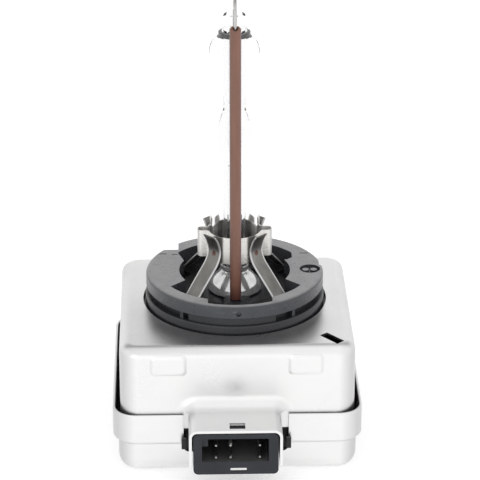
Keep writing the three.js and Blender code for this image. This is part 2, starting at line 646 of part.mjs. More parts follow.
// Radius at each distance above and below the middle of the arc tube, outside and inside.
const BULGE = [[3.0, 0], [2.9, 1.6], [2.6, 3.2], [2.15, 4.4], [LEG_TUBE_RADIUS, 5.2]]
const CHAMBER = [[1.35, 1.2], [0.95, 2.8], [0.45, 3.9], [0.45, 5.6], [LEG_BORE, 6.2]]
const JACKET_WALL = 0.85
const JACKET_BORE = LEG_TUBE_RADIUS + GAP
const JACKET_Z = [33.0, 77.6]
// Radius and height at the jacket's two drawn-in ends.
const JACKET_FOOT = [[2.9, 33.0], [4.0, 33.9], [JACKET_RADIUS, 35.4]]
const JACKET_HEAD = [[JACKET_RADIUS, 73.6], [4.35, 75.0], [3.7, 76.0], [2.95, 76.8], [2.9, 77.6]]
const JACKET_INSIDE = [
  [JACKET_BORE, 76.4], [3.2, 75.4], [JACKET_RADIUS - JACKET_WALL, 73.6],
  [JACKET_RADIUS - JACKET_WALL, 35.6], [3.2, 34.4], [JACKET_BORE, 34.1],
]

const above = (rows) => rows.map(([r, d]) => [r, LIGHT_CENTRE_Z + d])
const below = (rows) => rows.map(([r, d]) => [r, LIGHT_CENTRE_Z - d])

// A bulge in the middle of two long legs, with a sealed chamber inside it.
function arcTube() {
  return turned([
    [LEG_TUBE_RADIUS, LEG_BOTTOM_Z], ...below(BULGE).reverse(), ...above(BULGE.slice(1)),
    [LEG_TUBE_RADIUS, BURNER_TOP_Z], [LEG_BORE, BURNER_TOP_Z], ...above(CHAMBER).reverse(),
    ...below(CHAMBER), [LEG_BORE, LEG_BOTTOM_Z],
  ], SMALL_ROUND)
}

function outerJacket() {
  return turned([
    [JACKET_BORE, JACKET_Z[0]], ...JACKET_FOOT, ...JACKET_HEAD, [JACKET_BORE, JACKET_Z[1]],
    ...JACKET_INSIDE,
  ], 24)
}

add('outer_jacket', outerJacket(), 'quartz')
add('arc_tube', arcTube(), 'quartz')

// Distances from the middle of the arc, the same above and below it.
const ELECTRODE = { radius: 0.17, from: 2.1, to: 7.2 }
const FOIL = { halfWidth: 0.85, halfThickness: 0.06, from: 7.5, to: 15.0 }
const LEAD = { radius: 0.3, from: 15.3, bottomZ: 25.6, topZ: 81.6 }
for (const [name, way] of [['lower', -1], ['upper', 1]]) {
  const span = ({ from, to }) => [from, to].map((d) => LIGHT_CENTRE_Z + way * d).sort((a, b) => a - b)
  add(`electrode_${name}`, cylinder(ELECTRODE.radius, ...span(ELECTRODE), 8), 'tungsten')
  const foil = box(
    [-FOIL.halfWidth, FOIL.halfWidth], [-FOIL.halfThickness, FOIL.halfThickness], span(FOIL))
  add(`foil_${name}`, foil, 'tungsten')
}
add('lead_wire_lower', cylinder(LEAD.radius, LEAD.bottomZ, LIGHT_CENTRE_Z - LEAD.from, 8), 'tungsten')
add('lead_wire_upper', cylinder(LEAD.radius, LIGHT_CENTRE_Z + LEAD.from, LEAD.topZ, 8), 'tungsten')
add('salt_deposit', turned([[0, -0.2], [0.5, -0.12], [0.5, 0.08], [0, 0.16]], 10, false), 'salt', {
  position: vec(0.55, 0.35, LIGHT_CENTRE_Z - 1.9),
})

// From the top of the burner over to the front, and straight down through the ceramic tube.
const RETURN_WIRE = { radius: 0.3, bottomZ: 22.6 }
const RETURN_LINE = [
  vec(0, 0, 81.9), vec(0, -0.2, 83.2), vec(0.02, -1.6, 84.6), vec(0.02, -4.0, 84.7),
  vec(0, -6.0, 83.6), vec(0, CERAMIC_Y, 81.8), vec(0, CERAMIC_Y, 70), vec(0, CERAMIC_Y, 50),
  vec(0, CERAMIC_Y, RETURN_WIRE.bottomZ),
]
const CERAMIC = { bore: 0.6, radius: 1.04, topZ: 80.3 }
add('return_wire', wire(RETURN_LINE, RETURN_WIRE.radius, 44), 'nickel')
const ceramicTube = pipe(
  CERAMIC.bore, CERAMIC.radius, LEAD_BOSS.topZ + FINE_GAP, CERAMIC.topZ, 16)
add('ceramic_tube', ceramicTube, 'ceramic', { position: vec(0, CERAMIC_Y, 0) })

// ---------------------------------------------------------------- ignitor inside the case
const COIL_Y = 5.6
const COIL_Z = 11.4
const COIL_HALF = 15.5
const CORE_RADIUS = 3.6
const BOBBIN_BORE = 3.9
const BOBBIN_RADIUS = 4.8
const FLANGE_RADIUS = 8.2
const FLANGE_HALF = 0.4
const SECTIONS = 6
const SECTION_PITCH = 2 * COIL_HALF / SECTIONS
const WINDING_MARGIN = FLANGE_HALF + GAP
const SECONDARY_RADIUS = 7.4
const PRIMARY_RADIUS = 6.2

function coilPlace(geometry) {
  return barAlongX(geometry).translate(0, COIL_Y, COIL_Z)
}

function transformerBobbin() {
  const outline = [[BOBBIN_BORE, -COIL_HALF]]
  for (let i = 0; i <= SECTIONS; i += 1) {
    const x = -COIL_HALF + i * SECTION_PITCH
    const left = Math.max(x - FLANGE_HALF, -COIL_HALF)
    const right = Math.min(x + FLANGE_HALF, COIL_HALF)
    if (i > 0) outline.push([BOBBIN_RADIUS, left])
    outline.push([FLANGE_RADIUS, left], [FLANGE_RADIUS, right])
    if (i < SECTIONS) outline.push([BOBBIN_RADIUS, right])
  }
  outline.push([BOBBIN_BORE, COIL_HALF])
  return coilPlace(turned(outline, 16))
}

function winding(section, radius) {
  const from = -COIL_HALF + section * SECTION_PITCH + WINDING_MARGIN
  const to = from + SECTION_PITCH - 2 * WINDING_MARGIN
  return coilPlace(pipe(BOBBIN_RADIUS + GAP, radius, from, to, SMALL_ROUND))
}

add('transformer_core', coilPlace(cylinder(CORE_RADIUS, -COIL_HALF - 0.5, COIL_HALF + 0.5)),
  'ferrite')
add('transformer_bobbin', transformerBobbin(), 'alumina')
for (let i = 0; i < SECTIONS - 1; i += 1) {
  add(`secondary_winding_${i + 1}`, winding(i, SECONDARY_RADIUS), 'copper')
}
add('primary_winding', winding(SECTIONS - 1, PRIMARY_RADIUS), 'copper')

const BOARD = { x: [-17.5, 17.5], y: [-15.4, -4.0], z: [3.0, 4.2] }
const ON_BOARD = BOARD.z[1] + GAP
const PARTS_Y = -9.8
const SPARK_GAP = { x: -11.8, radius: 2.8, half: 2.4, capRadius: 3.0, cap: [2.7, 3.7], centreUp: 3.1 }
const CAPACITOR = { x: 10.6, halfX: 5.6, halfY: 4.2, corner: 0.8, height: 9.5 }
const RESISTOR = { x: -1.6, y: -11.4, centreUp: 1.3 }
// Radius at each distance from the resistor's middle.
const RESISTOR_PROFILE = [[1.0, 1.6], [1.25, 1.9], [1.25, 2.6], [1.1, 3.0], [0, 3.0]]

add('circuit_board', box(BOARD.x, BOARD.y, BOARD.z), 'board')

const sparkGapPlace = (geometry) =>
  barAlongX(geometry).translate(SPARK_GAP.x, PARTS_Y, ON_BOARD + SPARK_GAP.centreUp)
const sparkGapBody = cylinder(SPARK_GAP.radius, -SPARK_GAP.half, SPARK_GAP.half)
add('spark_gap_body', sparkGapPlace(sparkGapBody), 'alumina')
for (const [name, way] of [['left', -1], ['right', 1]]) {
  const span = SPARK_GAP.cap.map((d) => way * d).sort((a, b) => a - b)
  add(`spark_gap_cap_${name}`, sparkGapPlace(cylinder(SPARK_GAP.capRadius, ...span)), 'tin')
}

const capacitorLoop = (z) => roundedLoop(
  CAPACITOR.x, PARTS_Y, CAPACITOR.halfX, CAPACITOR.halfY, CAPACITOR.corner, z, 2)
const capacitor = skin([capacitorLoop(ON_BOARD), capacitorLoop(ON_BOARD + CAPACITOR.height)])
add('charging_capacitor', capacitor, 'film')

const resistorLeft = RESISTOR_PROFILE.map(([r, d]) => [r, -d]).reverse()
const resistor = barAlongX(turned([...resistorLeft, ...RESISTOR_PROFILE], 12, false))
add('bleed_resistor', resistor.translate(RESISTOR.x, RESISTOR.y, ON_BOARD + RESISTOR.centreUp),
  'alumina')

// The high-voltage contact: a socket under the burner's lower lead, on a bent strap that runs
// out to the right end of the transformer.
const STRAP_LINE = [[0, 21.2], [16.6, 21.2], [16.8, 21.0], [16.8, 14.5]]
const STRAP_SHEET = 0.4
const STRAP_WIDTH = 2.4
const CUP = { radius: 1.3, bore: 0.6, z: [21.1, 25.2], boreBottomZ: 22.4 }

function highVoltageContact() {
  const line = STRAP_LINE.map(([x, z]) => new THREE.Vector2(x, z))
  const strap = extruded(ribbonShape(line, STRAP_SHEET), STRAP_WIDTH)
    .rotateX(Math.PI / 2)
    .translate(0, STRAP_WIDTH / 2, 0)
  const cup = solid(cylinder(CUP.radius, ...CUP.z))
    .subtract(solid(cylinder(CUP.bore, CUP.boreBottomZ, CUP.z[1] + OVER)))
  return fromSolid(solid(strap).add(cup))
}
add('hv_contact', highVoltageContact(), 'tin')
const RETURN_CONTACT = { halfX: 0.8, halfY: 0.25, topZ: 22.3 }
const returnContact = box(
  [-RETURN_CONTACT.halfX, RETURN_CONTACT.halfX],
  [CERAMIC_Y - RETURN_CONTACT.halfY, CERAMIC_Y + RETURN_CONTACT.halfY],
  [ON_BOARD, RETURN_CONTACT.topZ])
add('return_contact', returnContact, 'tin')

export default lamp
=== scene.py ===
"""Looks of the xenon headlight bulb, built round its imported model. Lengths are in millimetres up
to the point where a mesh is made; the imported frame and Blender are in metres."""

import math

import bmesh
import bpy
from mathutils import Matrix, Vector


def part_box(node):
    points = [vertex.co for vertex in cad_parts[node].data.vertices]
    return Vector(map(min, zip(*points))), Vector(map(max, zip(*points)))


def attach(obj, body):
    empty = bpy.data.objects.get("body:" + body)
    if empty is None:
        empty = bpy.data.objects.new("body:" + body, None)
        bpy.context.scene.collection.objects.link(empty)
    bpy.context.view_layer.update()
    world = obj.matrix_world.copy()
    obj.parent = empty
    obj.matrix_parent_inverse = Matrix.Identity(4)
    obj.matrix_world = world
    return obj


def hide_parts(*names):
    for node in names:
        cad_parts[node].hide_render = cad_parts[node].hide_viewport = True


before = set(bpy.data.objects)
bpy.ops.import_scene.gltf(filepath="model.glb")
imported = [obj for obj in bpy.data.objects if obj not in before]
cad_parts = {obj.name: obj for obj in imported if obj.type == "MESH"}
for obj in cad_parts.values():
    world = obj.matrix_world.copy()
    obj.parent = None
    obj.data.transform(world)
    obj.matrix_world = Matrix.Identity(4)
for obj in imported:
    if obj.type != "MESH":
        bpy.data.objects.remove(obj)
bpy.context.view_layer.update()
MM = 0.001


def node_box(name):
    """Lowest and highest corner of a CAD node, in millimetres."""
    low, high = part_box(name)
    return low / MM, high / MM


# ---------------------------------------------------------------- driving sizes from the frame
COVER_LOW, COVER_HIGH = node_box("top_cover")
TRAY_LOW, TRAY_HIGH = node_box("bottom_tray")
HOUSING_LOW, HOUSING_HIGH = node_box("ignitor_housing")
SOCKET_LOW, SOCKET_HIGH = node_box("connector_socket")
CLAMP_LOW, CLAMP_HIGH = node_box("clamp_band")
CERAMIC_LOW, CERAMIC_HIGH = node_box("ceramic_tube")
ARC_LOW, ARC_HIGH = node_box("arc_tube")
WIRE_FOOT = node_box("return_wire")[0].z
CAP_TOP = node_box("base_ring")[1].z
LIGHT_CENTRE = CAP_TOP + 27.1

CASE_Y = (TRAY_LOW.y + TRAY_HIGH.y) / 2
CASE_TOP = COVER_HIGH.z
CASE_FRONT = TRAY_LOW.y
COVER_HALF = (COVER_HIGH.x, COVER_HIGH.y - CASE_Y)
BAND_HALF = (TRAY_HIGH.x, TRAY_HIGH.y - CASE_Y)
WALL_Y = CASE_Y - COVER_HALF[1]          # the cover's front wall
CERAMIC_Y = (CERAMIC_LOW.y + CERAMIC_HIGH.y) / 2

SHEET = 0.5                              # pressed steel sheet
CLAMP_SHEET = 0.25
EAR_REACH = CLAMP_HIGH.x - CLAMP_SHEET / 2
SPRING_HALF = 1.65                       # half the width of a spring's strip
CAP_DISC = 28.2                          # underside of the cap's rim


# ---------------------------------------------------------------- mesh helpers
def new_object(name, points, faces):
    mesh = bpy.data.meshes.new(name)
    mesh.from_pydata([Vector(p) * MM for p in points], [], faces)
    work = bmesh.new()
    work.from_mesh(mesh)
    bmesh.ops.remove_doubles(work, verts=work.verts, dist=1e-7)
    bmesh.ops.recalc_face_normals(work, faces=work.faces)
    work.to_mesh(mesh)
    work.free()
    obj = bpy.data.objects.new(name, mesh)
    bpy.context.scene.collection.objects.link(obj)
    return obj


def skin(name, loops, ring=False):
    """A closed skin over a stack of loops with equal point counts, capped unless it is a ring."""
    count, rows = len(loops[0]), len(loops)
    faces = []
    for row in range(rows if ring else rows - 1):
        here, there = row * count, (row + 1) % rows * count
        for i in range(count):
            j = (i + 1) % count
            faces.append((here + i, here + j, there + j, there + i))
    if not ring:
        faces.append(tuple(reversed(range(count))))
        faces.append(tuple((rows - 1) * count + i for i in range(count)))
    return new_object(name, [p for loop in loops for p in loop], faces)


def polar(radius, degrees, z, centre=(0.0, 0.0)):
    angle = math.radians(degrees)
    return (centre[0] + radius * math.cos(angle), centre[1] + radius * math.sin(angle), z)


def turned(name, profile, segments=128):
    """A closed profile of (radius, z) points turned about the Z axis."""
    loops = [[polar(r, 360 * i / segments, z) for r, z in profile] for i in range(segments)]
    return skin(name, loops, ring=True)


def disc(radius, z0, z1, centre=(0.0, 0.0), segments=128):
    return skin("disc", [[polar(radius, 360 * i / segments, z, centre) for i in range(segments)]
                         for z in (z0, z1)])


def block(xs, ys, zs, turn=0.0, centre=(0.0, 0.0)):
    """A box, turned by some degrees about the vertical through centre."""
    cos, sin = math.cos(math.radians(turn)), math.sin(math.radians(turn))
    corners = [(xs[0], ys[0]), (xs[1], ys[0]), (xs[1], ys[1]), (xs[0], ys[1])]
    return skin("block", [[(centre[0] + x * cos - y * sin, centre[1] + x * sin + y * cos, z)
                           for x, y in corners] for z in zs])


def arc(centre, radius, start, stop, steps):
    """Points on a round in any plane, from start to stop degrees."""
    return [polar(radius, start + (stop - start) * i / steps, 0, centre)[:2]
            for i in range(steps + 1)]


def quarter_turn(steps):
    """The angles of a quarter turn in even steps, in radians."""
    return [math.pi / 2 * i / steps for i in range(steps + 1)]


def rounded_rect(centre, half, radius, steps=8):
    points = []
    for quarter, (sx, sy) in enumerate(((1, 1), (-1, 1), (-1, -1), (1, -1))):
        corner = (centre[0] + sx * (half[0] - radius), centre[1] + sy * (half[1] - radius))
        points += arc(corner, radius, 90 * quarter, 90 * quarter + 90, steps)
    return points


def upright(name, xs, zs, radius, rows):
    """A rounded rectangle seen from the front, as a skin; rows are (inset, y)."""
    centre = ((xs[0] + xs[1]) / 2, (zs[0] + zs[1]) / 2)
    half = ((xs[1] - xs[0]) / 2, (zs[1] - zs[0]) / 2)
    loops = []
    for inset, y in rows:
        outline = rounded_rect(centre, (half[0] - inset, half[1] - inset), radius - inset)
        loops.append([(x, y, z) for x, z in outline])
    return skin(name, loops)


def smooth(points, steps):
    """A smooth line through the points, steps pieces between each pair."""
    line = []
    ends = [points[0]] + list(points) + [points[-1]]
    for a, b, c, d in zip(ends, ends[1:], ends[2:], ends[3:]):
        a, b, c, d = Vector(a), Vector(b), Vector(c), Vector(d)
        for i in range(steps):
            t = i / steps
            line.append(0.5 * (2 * b + (c - a) * t + (2 * a - 5 * b + 4 * c - d) * t ** 2
                               + (3 * b - a - 3 * c + d) * t ** 3))
    return line + [Vector(points[-1])]


def heading(line, i):
    """The direction of a line at its point i."""
    return (line[min(i + 1, len(line) - 1)] - line[max(i - 1, 0)]).normalized()


def swept(name, line, radius, sides=12):
    """A round wire along a line of points."""
    loops = []
    side = Vector((1, 0, 0))
    for i, point in enumerate(line):
        along = heading(line, i)
        side = (side - along * side.dot(along)).normalized()
        other = along.cross(side)
        loops.append([point + radius * (side * math.cos(2 * math.pi * k / sides)
                                        + other * math.sin(2 * math.pi * k / sides))
                      for k in range(sides)])
    return skin(name, loops)


def bake_modifiers(obj):
    graph = bpy.context.evaluated_depsgraph_get()
    mesh = bpy.data.meshes.new_from_object(obj.evaluated_get(graph))
    obj.modifiers.clear()
    obj.data = mesh


def combine(target, operation, *tools):
    """UNION, DIFFERENCE or INTERSECT with each tool in turn; the tools are used up."""
    for tool in tools:
        step = target.modifiers.new("step", "BOOLEAN")
        step.operation = operation
        step.solver = "EXACT"
        step.object = tool
        bake_modifiers(target)
        bpy.data.objects.remove(tool)
    return target


def shaded(obj, angle=40.0):
    """Smooth shading that keeps the sharp edges, and the wide faces flat."""
    obj.data.shade_smooth()
    obj.data.set_sharp_from_angle(angle=math.radians(angle))
    flat = obj.modifiers.new("flat", "WEIGHTED_NORMAL")
    flat.keep_sharp = True
    flat.weight = 100
    bake_modifiers(obj)
    return obj


def soften(obj, width, angle):
    """Small rounds on the edges sharper than the angle, and then the shading."""
    edge = obj.modifiers.new("edge", "BEVEL")
    edge.width = width * MM
    edge.segments = 3
    edge.limit_method = "ANGLE"
    edge.angle_limit = math.radians(angle)
    bake_modifiers(obj)
    return shaded(obj)


# ---------------------------------------------------------------- material helpers
def node(tree, kind, inputs=(), **settings):
    """A shader node with settings; inputs maps a socket to a number, a colour or an output."""
    made = tree.nodes.new(kind)
    for key, value in settings.items():
        setattr(made, key, value)
    for key, value in dict(inputs).items():
        if isinstance(value, bpy.types.NodeSocket):
            tree.links.new(value, made.inputs[key])
        else:
            made.inputs[key].default_value = value
    return made


def position(tree, scale=(1.0, 1.0, 1.0)):
    """The point on the object in the row frame, in millimetres."""
    place = node(tree, "ShaderNodeTexCoord").outputs["Object"]
    scale = [s / MM for s in scale]
    return node(tree, "ShaderNodeMapping", {"Vector": place, "Scale": scale}).outputs["Vector"]


def component(tree, vector, axis):
    return node(tree, "ShaderNodeSeparateXYZ", {0: vector}).outputs[axis]


def coordinate(tree, axis):
    """One coordinate of the point on the object, in millimetres."""
    return component(tree, position(tree), axis)


def facing(tree, axis):
    """How far the surface faces along an axis, from -1 to 1."""
    return component(tree, node(tree, "ShaderNodeNewGeometry").outputs["Normal"], axis)


def distance(tree, a, b):
    return node(tree, "ShaderNodeVectorMath", {0: a, 1: b}, operation="DISTANCE").outputs["Value"]


def noise(tree, size, detail=4.0, stretch=(1.0, 1.0, 1.0)):
    """Soft noise from 0 to 1 with patches about size millimetres across."""
    at = position(tree, [s / size for s in stretch])
    return node(tree, "ShaderNodeTexNoise", {
        "Vector": at, "Scale": 1.0, "Detail": detail, "Roughness": 0.55}).outputs["Fac"]


def waves(tree, scale, distortion=0.0):
    """Soft bands from 0 to 1 that follow each other along X."""
    return node(tree, "ShaderNodeTexWave", {
        "Vector": position(tree), "Scale": scale, "Distortion": distortion},
        bands_direction="X").outputs["Fac"]


def ramp(tree, value, low, high, start=0.3, stop=0.7):
    """value from start to stop becomes low to high, and stays within them."""
    return node(tree, "ShaderNodeMapRange", {
        "Value": value, "From Min": start, "From Max": stop, "To Min": low, "To Max": high,
    }).outputs["Result"]


def maths(tree, operation, a, b=0.0):
    return node(tree, "ShaderNodeMath", {0: a, 1: b}, operation=operation).outputs[0]


def mixed(tree, share, a, b):
    """Colour a where share is 0 and b where it is 1."""
    return node(tree, "ShaderNodeMix", {0: share, 6: a, 7: b}, data_type="RGBA").outputs[2]


def bump(tree, height, depth, below=None):
    """Relief of depth millimetres, laid over another relief where one is given."""
    inputs = {"Height": height, "Strength": 1.0, "Distance": depth * MM}
    if below is not None:
        inputs["Normal"] = below
    return node(tree, "ShaderNodeBump", inputs).outputs["Normal"]


def grey(value, tint=(1.0, 1.0, 1.0)):
    return (value * tint[0], value * tint[1], value * tint[2], 1.0)


def surface(name, dark, light, gloss, metallic=0.0, patch=4.0, grain=0.5, relief=0.01,
            stretch=(1.0, 1.0, 1.0), specular=0.5):
    """Two near colours in soft patches, gloss that varies with them, and a fine grain."""
    material = bpy.data.materials.new(name)
    material.use_nodes = True
    tree = material.node_tree
    shader = tree.nodes["Principled BSDF"]
    patches = noise(tree, patch, stretch=stretch)
    fine = noise(tree, grain, 3.0, stretch)
    colour = mixed(tree, ramp(tree, patches, 0.0, 1.0), dark, light)
    rough = maths(tree, "ADD", ramp(tree, fine, gloss[0], gloss[1]),
                  ramp(tree, patches, -0.04, 0.04))
    tree.links.new(colour, shader.inputs["Base Color"])
    tree.links.new(rough, shader.inputs["Roughness"])
    tree.links.new(bump(tree, fine, relief), shader.inputs["Normal"])
    shader.inputs["Metallic"].default_value = metallic
    shader.inputs["Specular IOR Level"].default_value = specular
    return material


def source(material, socket):
    """What is now linked to one of the shader's sockets."""
    return material.node_tree.nodes["Principled BSDF"].inputs[socket].links[0].from_socket


def set_source(material, socket, value):
    shader = material.node_tree.nodes["Principled BSDF"]
    material.node_tree.links.new(value, shader.inputs[socket])


def tinted(material, share, colour):
    """The material's colour moved towards another one by a share that varies."""
    tree = material.node_tree
    set_source(material, "Base Color", mixed(tree, share, source(material, "Base Color"), colour))
    return material


# ---------------------------------------------------------------- materials
TOP_SHADE_PLACE = (-15.0, -17.0, CASE_TOP)    # painted shade on the cover's top is deepest at this corner
SHADE_STRIPE_X = 3.0                           # middle of the clamp's stripes of painted shade beside the springs
SPRING_WELD = (4.0, 4.0, 35.9)           # the same place on all four springs
WELD_RADIUS = 0.6
QUARTZ_IOR = 1.2                         # low, so that the tubes hardly show against the light


def case_steel():
    """Tin-plated pressed sheet with a fine grain and faint handling marks, and painted shade on
    the faces that turn sideways and towards one corner of the cover's top."""
    steel = surface("case_steel", grey(0.80), grey(0.83, (1.0, 1.0, 0.99)), (0.29, 0.34),
                    metallic=1.0, patch=9.0, grain=0.9, relief=0.0012)
    tree = steel.node_tree
    marks = ramp(tree, noise(tree, 7.0, 2.0), 0.0, 0.3, 0.5, 0.75)
    tinted(steel, marks, grey(0.78, (0.99, 1.0, 1.01)))
    # painted shade on the faces that turn sideways
    sideways = ramp(tree, maths(tree, "ABSOLUTE", facing(tree, "X")), 0.0, 1.0, 0.1, 0.8)
    tinted(steel, sideways, grey(0.56))
    # painted shade on the cover's top, deepest towards its front left corner
    on_top = ramp(tree, coordinate(tree, "Z"), 0.0, 1.0, CASE_TOP - 1.5, CASE_TOP - 0.5)
    near = ramp(tree, distance(tree, position(tree), TOP_SHADE_PLACE), 0.8, 0.0, 4.0, 34.0)
    return tinted(steel, maths(tree, "MULTIPLY", on_top, near), grey(0.66))


def moulded(name, dark, light, gloss, dust_and_sheen, specular=0.5, dust_and_sheen_from=0.0):
    """Moulded plastic: fine eroded texture, scuffs, and pale dust with painted sheen on what
    faces up, from the height given as the last argument."""
    plastic = surface(name, dark, light, gloss, patch=5.0, grain=0.35, relief=0.005,
                      specular=specular)
    tree = plastic.node_tree
    # pale dust and painted sheen from above on the faces that turn up
    up_dust_and_sheen = maths(tree, "MULTIPLY", ramp(tree, facing(tree, "Z"), 0.0, 1.0, 0.5, 0.98),
                    ramp(tree, noise(tree, 2.2, 6.0), 0.75, 1.0, 0.25, 0.6))
    high = ramp(tree, coordinate(tree, "Z"), 0.0, 1.0, dust_and_sheen_from - 0.1, dust_and_sheen_from)
    tinted(plastic, maths(tree, "MULTIPLY", up_dust_and_sheen, high), dust_and_sheen)
    scuffs = ramp(tree, noise(tree, 1.4, 9.0, (1.0, 1.0, 2.0)), 0.0, 0.25, 0.62, 0.8)
    return tinted(plastic, scuffs, dust_and_sheen)


def cap_plastic():
    """Dark glass-filled plastic, with painted shade that makes it nearly black below its rim."""
    # the pale colour on the cap's top is dust and painted sheen
    plastic = moulded("cap_plastic", (0.034, 0.036, 0.041, 1), (0.05, 0.053, 0.06, 1),
                      (0.24, 0.42), (0.26, 0.26, 0.266, 1), dust_and_sheen_from=CAP_TOP - 0.2)
    tree = plastic.node_tree
    # painted shade under the rim's overhang
    below = ramp(tree, coordinate(tree, "Z"), 0.8, 0.0, CAP_DISC - 0.1, CAP_DISC)
    return tinted(plastic, below, (0.008, 0.009, 0.011, 1))


def polished_clamp():
    """Bright rolled sheet, with painted shade beside the springs and at the ends of its two ears.
    """
    clamp = surface("clamp_steel", (0.80, 0.785, 0.75, 1), (0.88, 0.865, 0.83, 1), (0.2, 0.3),
                    metallic=0.4, patch=3.0, grain=0.8, relief=0.001)
    tree = clamp.node_tree
    out = maths(tree, "ABSOLUTE", coordinate(tree, "X"))
    beside = maths(tree, "ABSOLUTE", maths(tree, "SUBTRACT", out, SHADE_STRIPE_X))
    # painted shade on the clamp beside the springs
    tinted(clamp, ramp(tree, beside, 0.85, 0.0, 0.5, 0.9), (0.12, 0.115, 0.105, 1))
    # painted shade where the ears turn round at their ends
    return tinted(clamp, ramp(tree, out, 0.0, 0.9, EAR_REACH - 0.45, EAR_REACH), grey(0.42))


def spring_steel():
    """Bare spring strip: rolling lines, painted highlights along its edges and a heat-tinted spot
    weld.
    """
    strip = surface("spring_steel", (0.15, 0.146, 0.138, 1), (0.235, 0.227, 0.215, 1),
                    (0.28, 0.42), metallic=1.0, patch=2.5, grain=0.25, relief=0.006,
                    stretch=(1.0, 1.0, 0.3))
    tree = strip.node_tree
    mirrored = node(tree, "ShaderNodeVectorMath", {0: position(tree)},
                    operation="ABSOLUTE").outputs[0]
    away = distance(tree, mirrored, SPRING_WELD)
    burnt = ramp(tree, away, 0.8, 0.0, WELD_RADIUS * 0.6, WELD_RADIUS)
    tinted(strip, burnt, (0.10, 0.035, 0.025, 1))
    dent = ramp(tree, away, 0.0, 1.0, WELD_RADIUS * 0.3, WELD_RADIUS * 0.7)
    set_source(strip, "Normal", bump(tree, dent, 0.05, source(strip, "Normal")))
    x, y = component(tree, mirrored, "X"), component(tree, mirrored, "Y")
    across = maths(tree, "ABSOLUTE", maths(tree, "SUBTRACT", x, y))
    edge = SPRING_HALF * math.sqrt(2)
    # painted highlight along both edges of the strip
    edge_highlight = ramp(tree, across, 0.0, 1.0, edge - 0.55, edge - 0.25)
    set_source(strip, "Metallic", ramp(tree, edge_highlight, 1.0, 0.5, 0.0, 1.0))
    return tinted(strip, edge_highlight, grey(0.62))


def quartz(name, tint):
    """Clear quartz with faint drawn streaks along the tube."""
    glass = surface(name, grey(0.93, tint), grey(0.97), (0.0, 0.02), patch=3.0, grain=1.2,
                    relief=0.002, stretch=(1.0, 1.0, 0.06))
    shader = glass.node_tree.nodes["Principled BSDF"]
    shader.inputs["Transmission Weight"].default_value = 1.0
    shader.inputs["IOR"].default_value = QUARTZ_IOR
    return glass


def fired_ceramic():
    """Brown fired ceramic: soft bands along its length, darker and redder at the foot, and painted
    shade down its two sides that makes them less brown."""
    ceramic = surface("ceramic_brown", (0.16, 0.073, 0.049, 1), (0.23, 0.108, 0.074, 1),
                      (0.38, 0.52), patch=1.6, grain=0.3, relief=0.012, stretch=(1.0, 1.0, 0.12))
    tree = ceramic.node_tree
    foot = ramp(tree, coordinate(tree, "Z"), 0.75, 0.0, CERAMIC_LOW.z, CERAMIC_LOW.z + 3.0)
    tinted(ceramic, foot, (0.07, 0.012, 0.012, 1))
    # painted shade down the two sides of the tube
    side = facing(tree, "X")
    tinted(ceramic, ramp(tree, side, 0.45, 0.0, -1.0, -0.35), (0.06, 0.045, 0.045, 1))
    return tinted(ceramic, ramp(tree, side, 0.0, 0.45, 0.45, 1.0), (0.12, 0.07, 0.10, 1))


def wound_copper():
    """Enamelled wire: fine turns side by side along the coil, with painted shade in the grooves
    between them.
    """
    copper = surface("winding_copper", (0.42, 0.15, 0.06, 1), (0.62, 0.26, 0.11, 1), (0.22, 0.35),
                     metallic=0.9, patch=1.5, grain=0.2, relief=0.004)
    tree = copper.node_tree
    turns = waves(tree, 1.6, 0.15)
    # painted shade in the grooves between the turns
    tinted(copper, ramp(tree, turns, 0.6, 0.0, 0.0, 0.35), (0.10, 0.03, 0.012, 1))
    set_source(copper, "Normal", bump(tree, turns, 0.08, source(copper, "Normal")))
    return copper


def board_laminate():
    """Green board with the glass cloth showing faintly through the lacquer."""
    board = surface("board_laminate", (0.02, 0.10, 0.035, 1), (0.03, 0.15, 0.05, 1), (0.25, 0.38),
                    patch=3.0, grain=0.3, relief=0.004)
    tree = board.node_tree
    cloth = node(tree, "ShaderNodeTexChecker", {"Vector": position(tree), "Scale": 1.6})
    threads = ramp(tree, cloth.outputs["Fac"], 0.0, 0.25, 0.0, 1.0)
    return tinted(board, threads, (0.05, 0.2, 0.08, 1))


def banded(name, dark, light, gloss, scale, colour):
    """A small lacquered body with plain bands of a second colour across it."""
    lacquer = surface(name, dark, light, gloss, patch=1.5, grain=0.3, relief=0.006)
    tree = lacquer.node_tree
    return tinted(lacquer, ramp(tree, waves(tree, scale), 0.0, 1.0, 0.72, 0.8), colour)


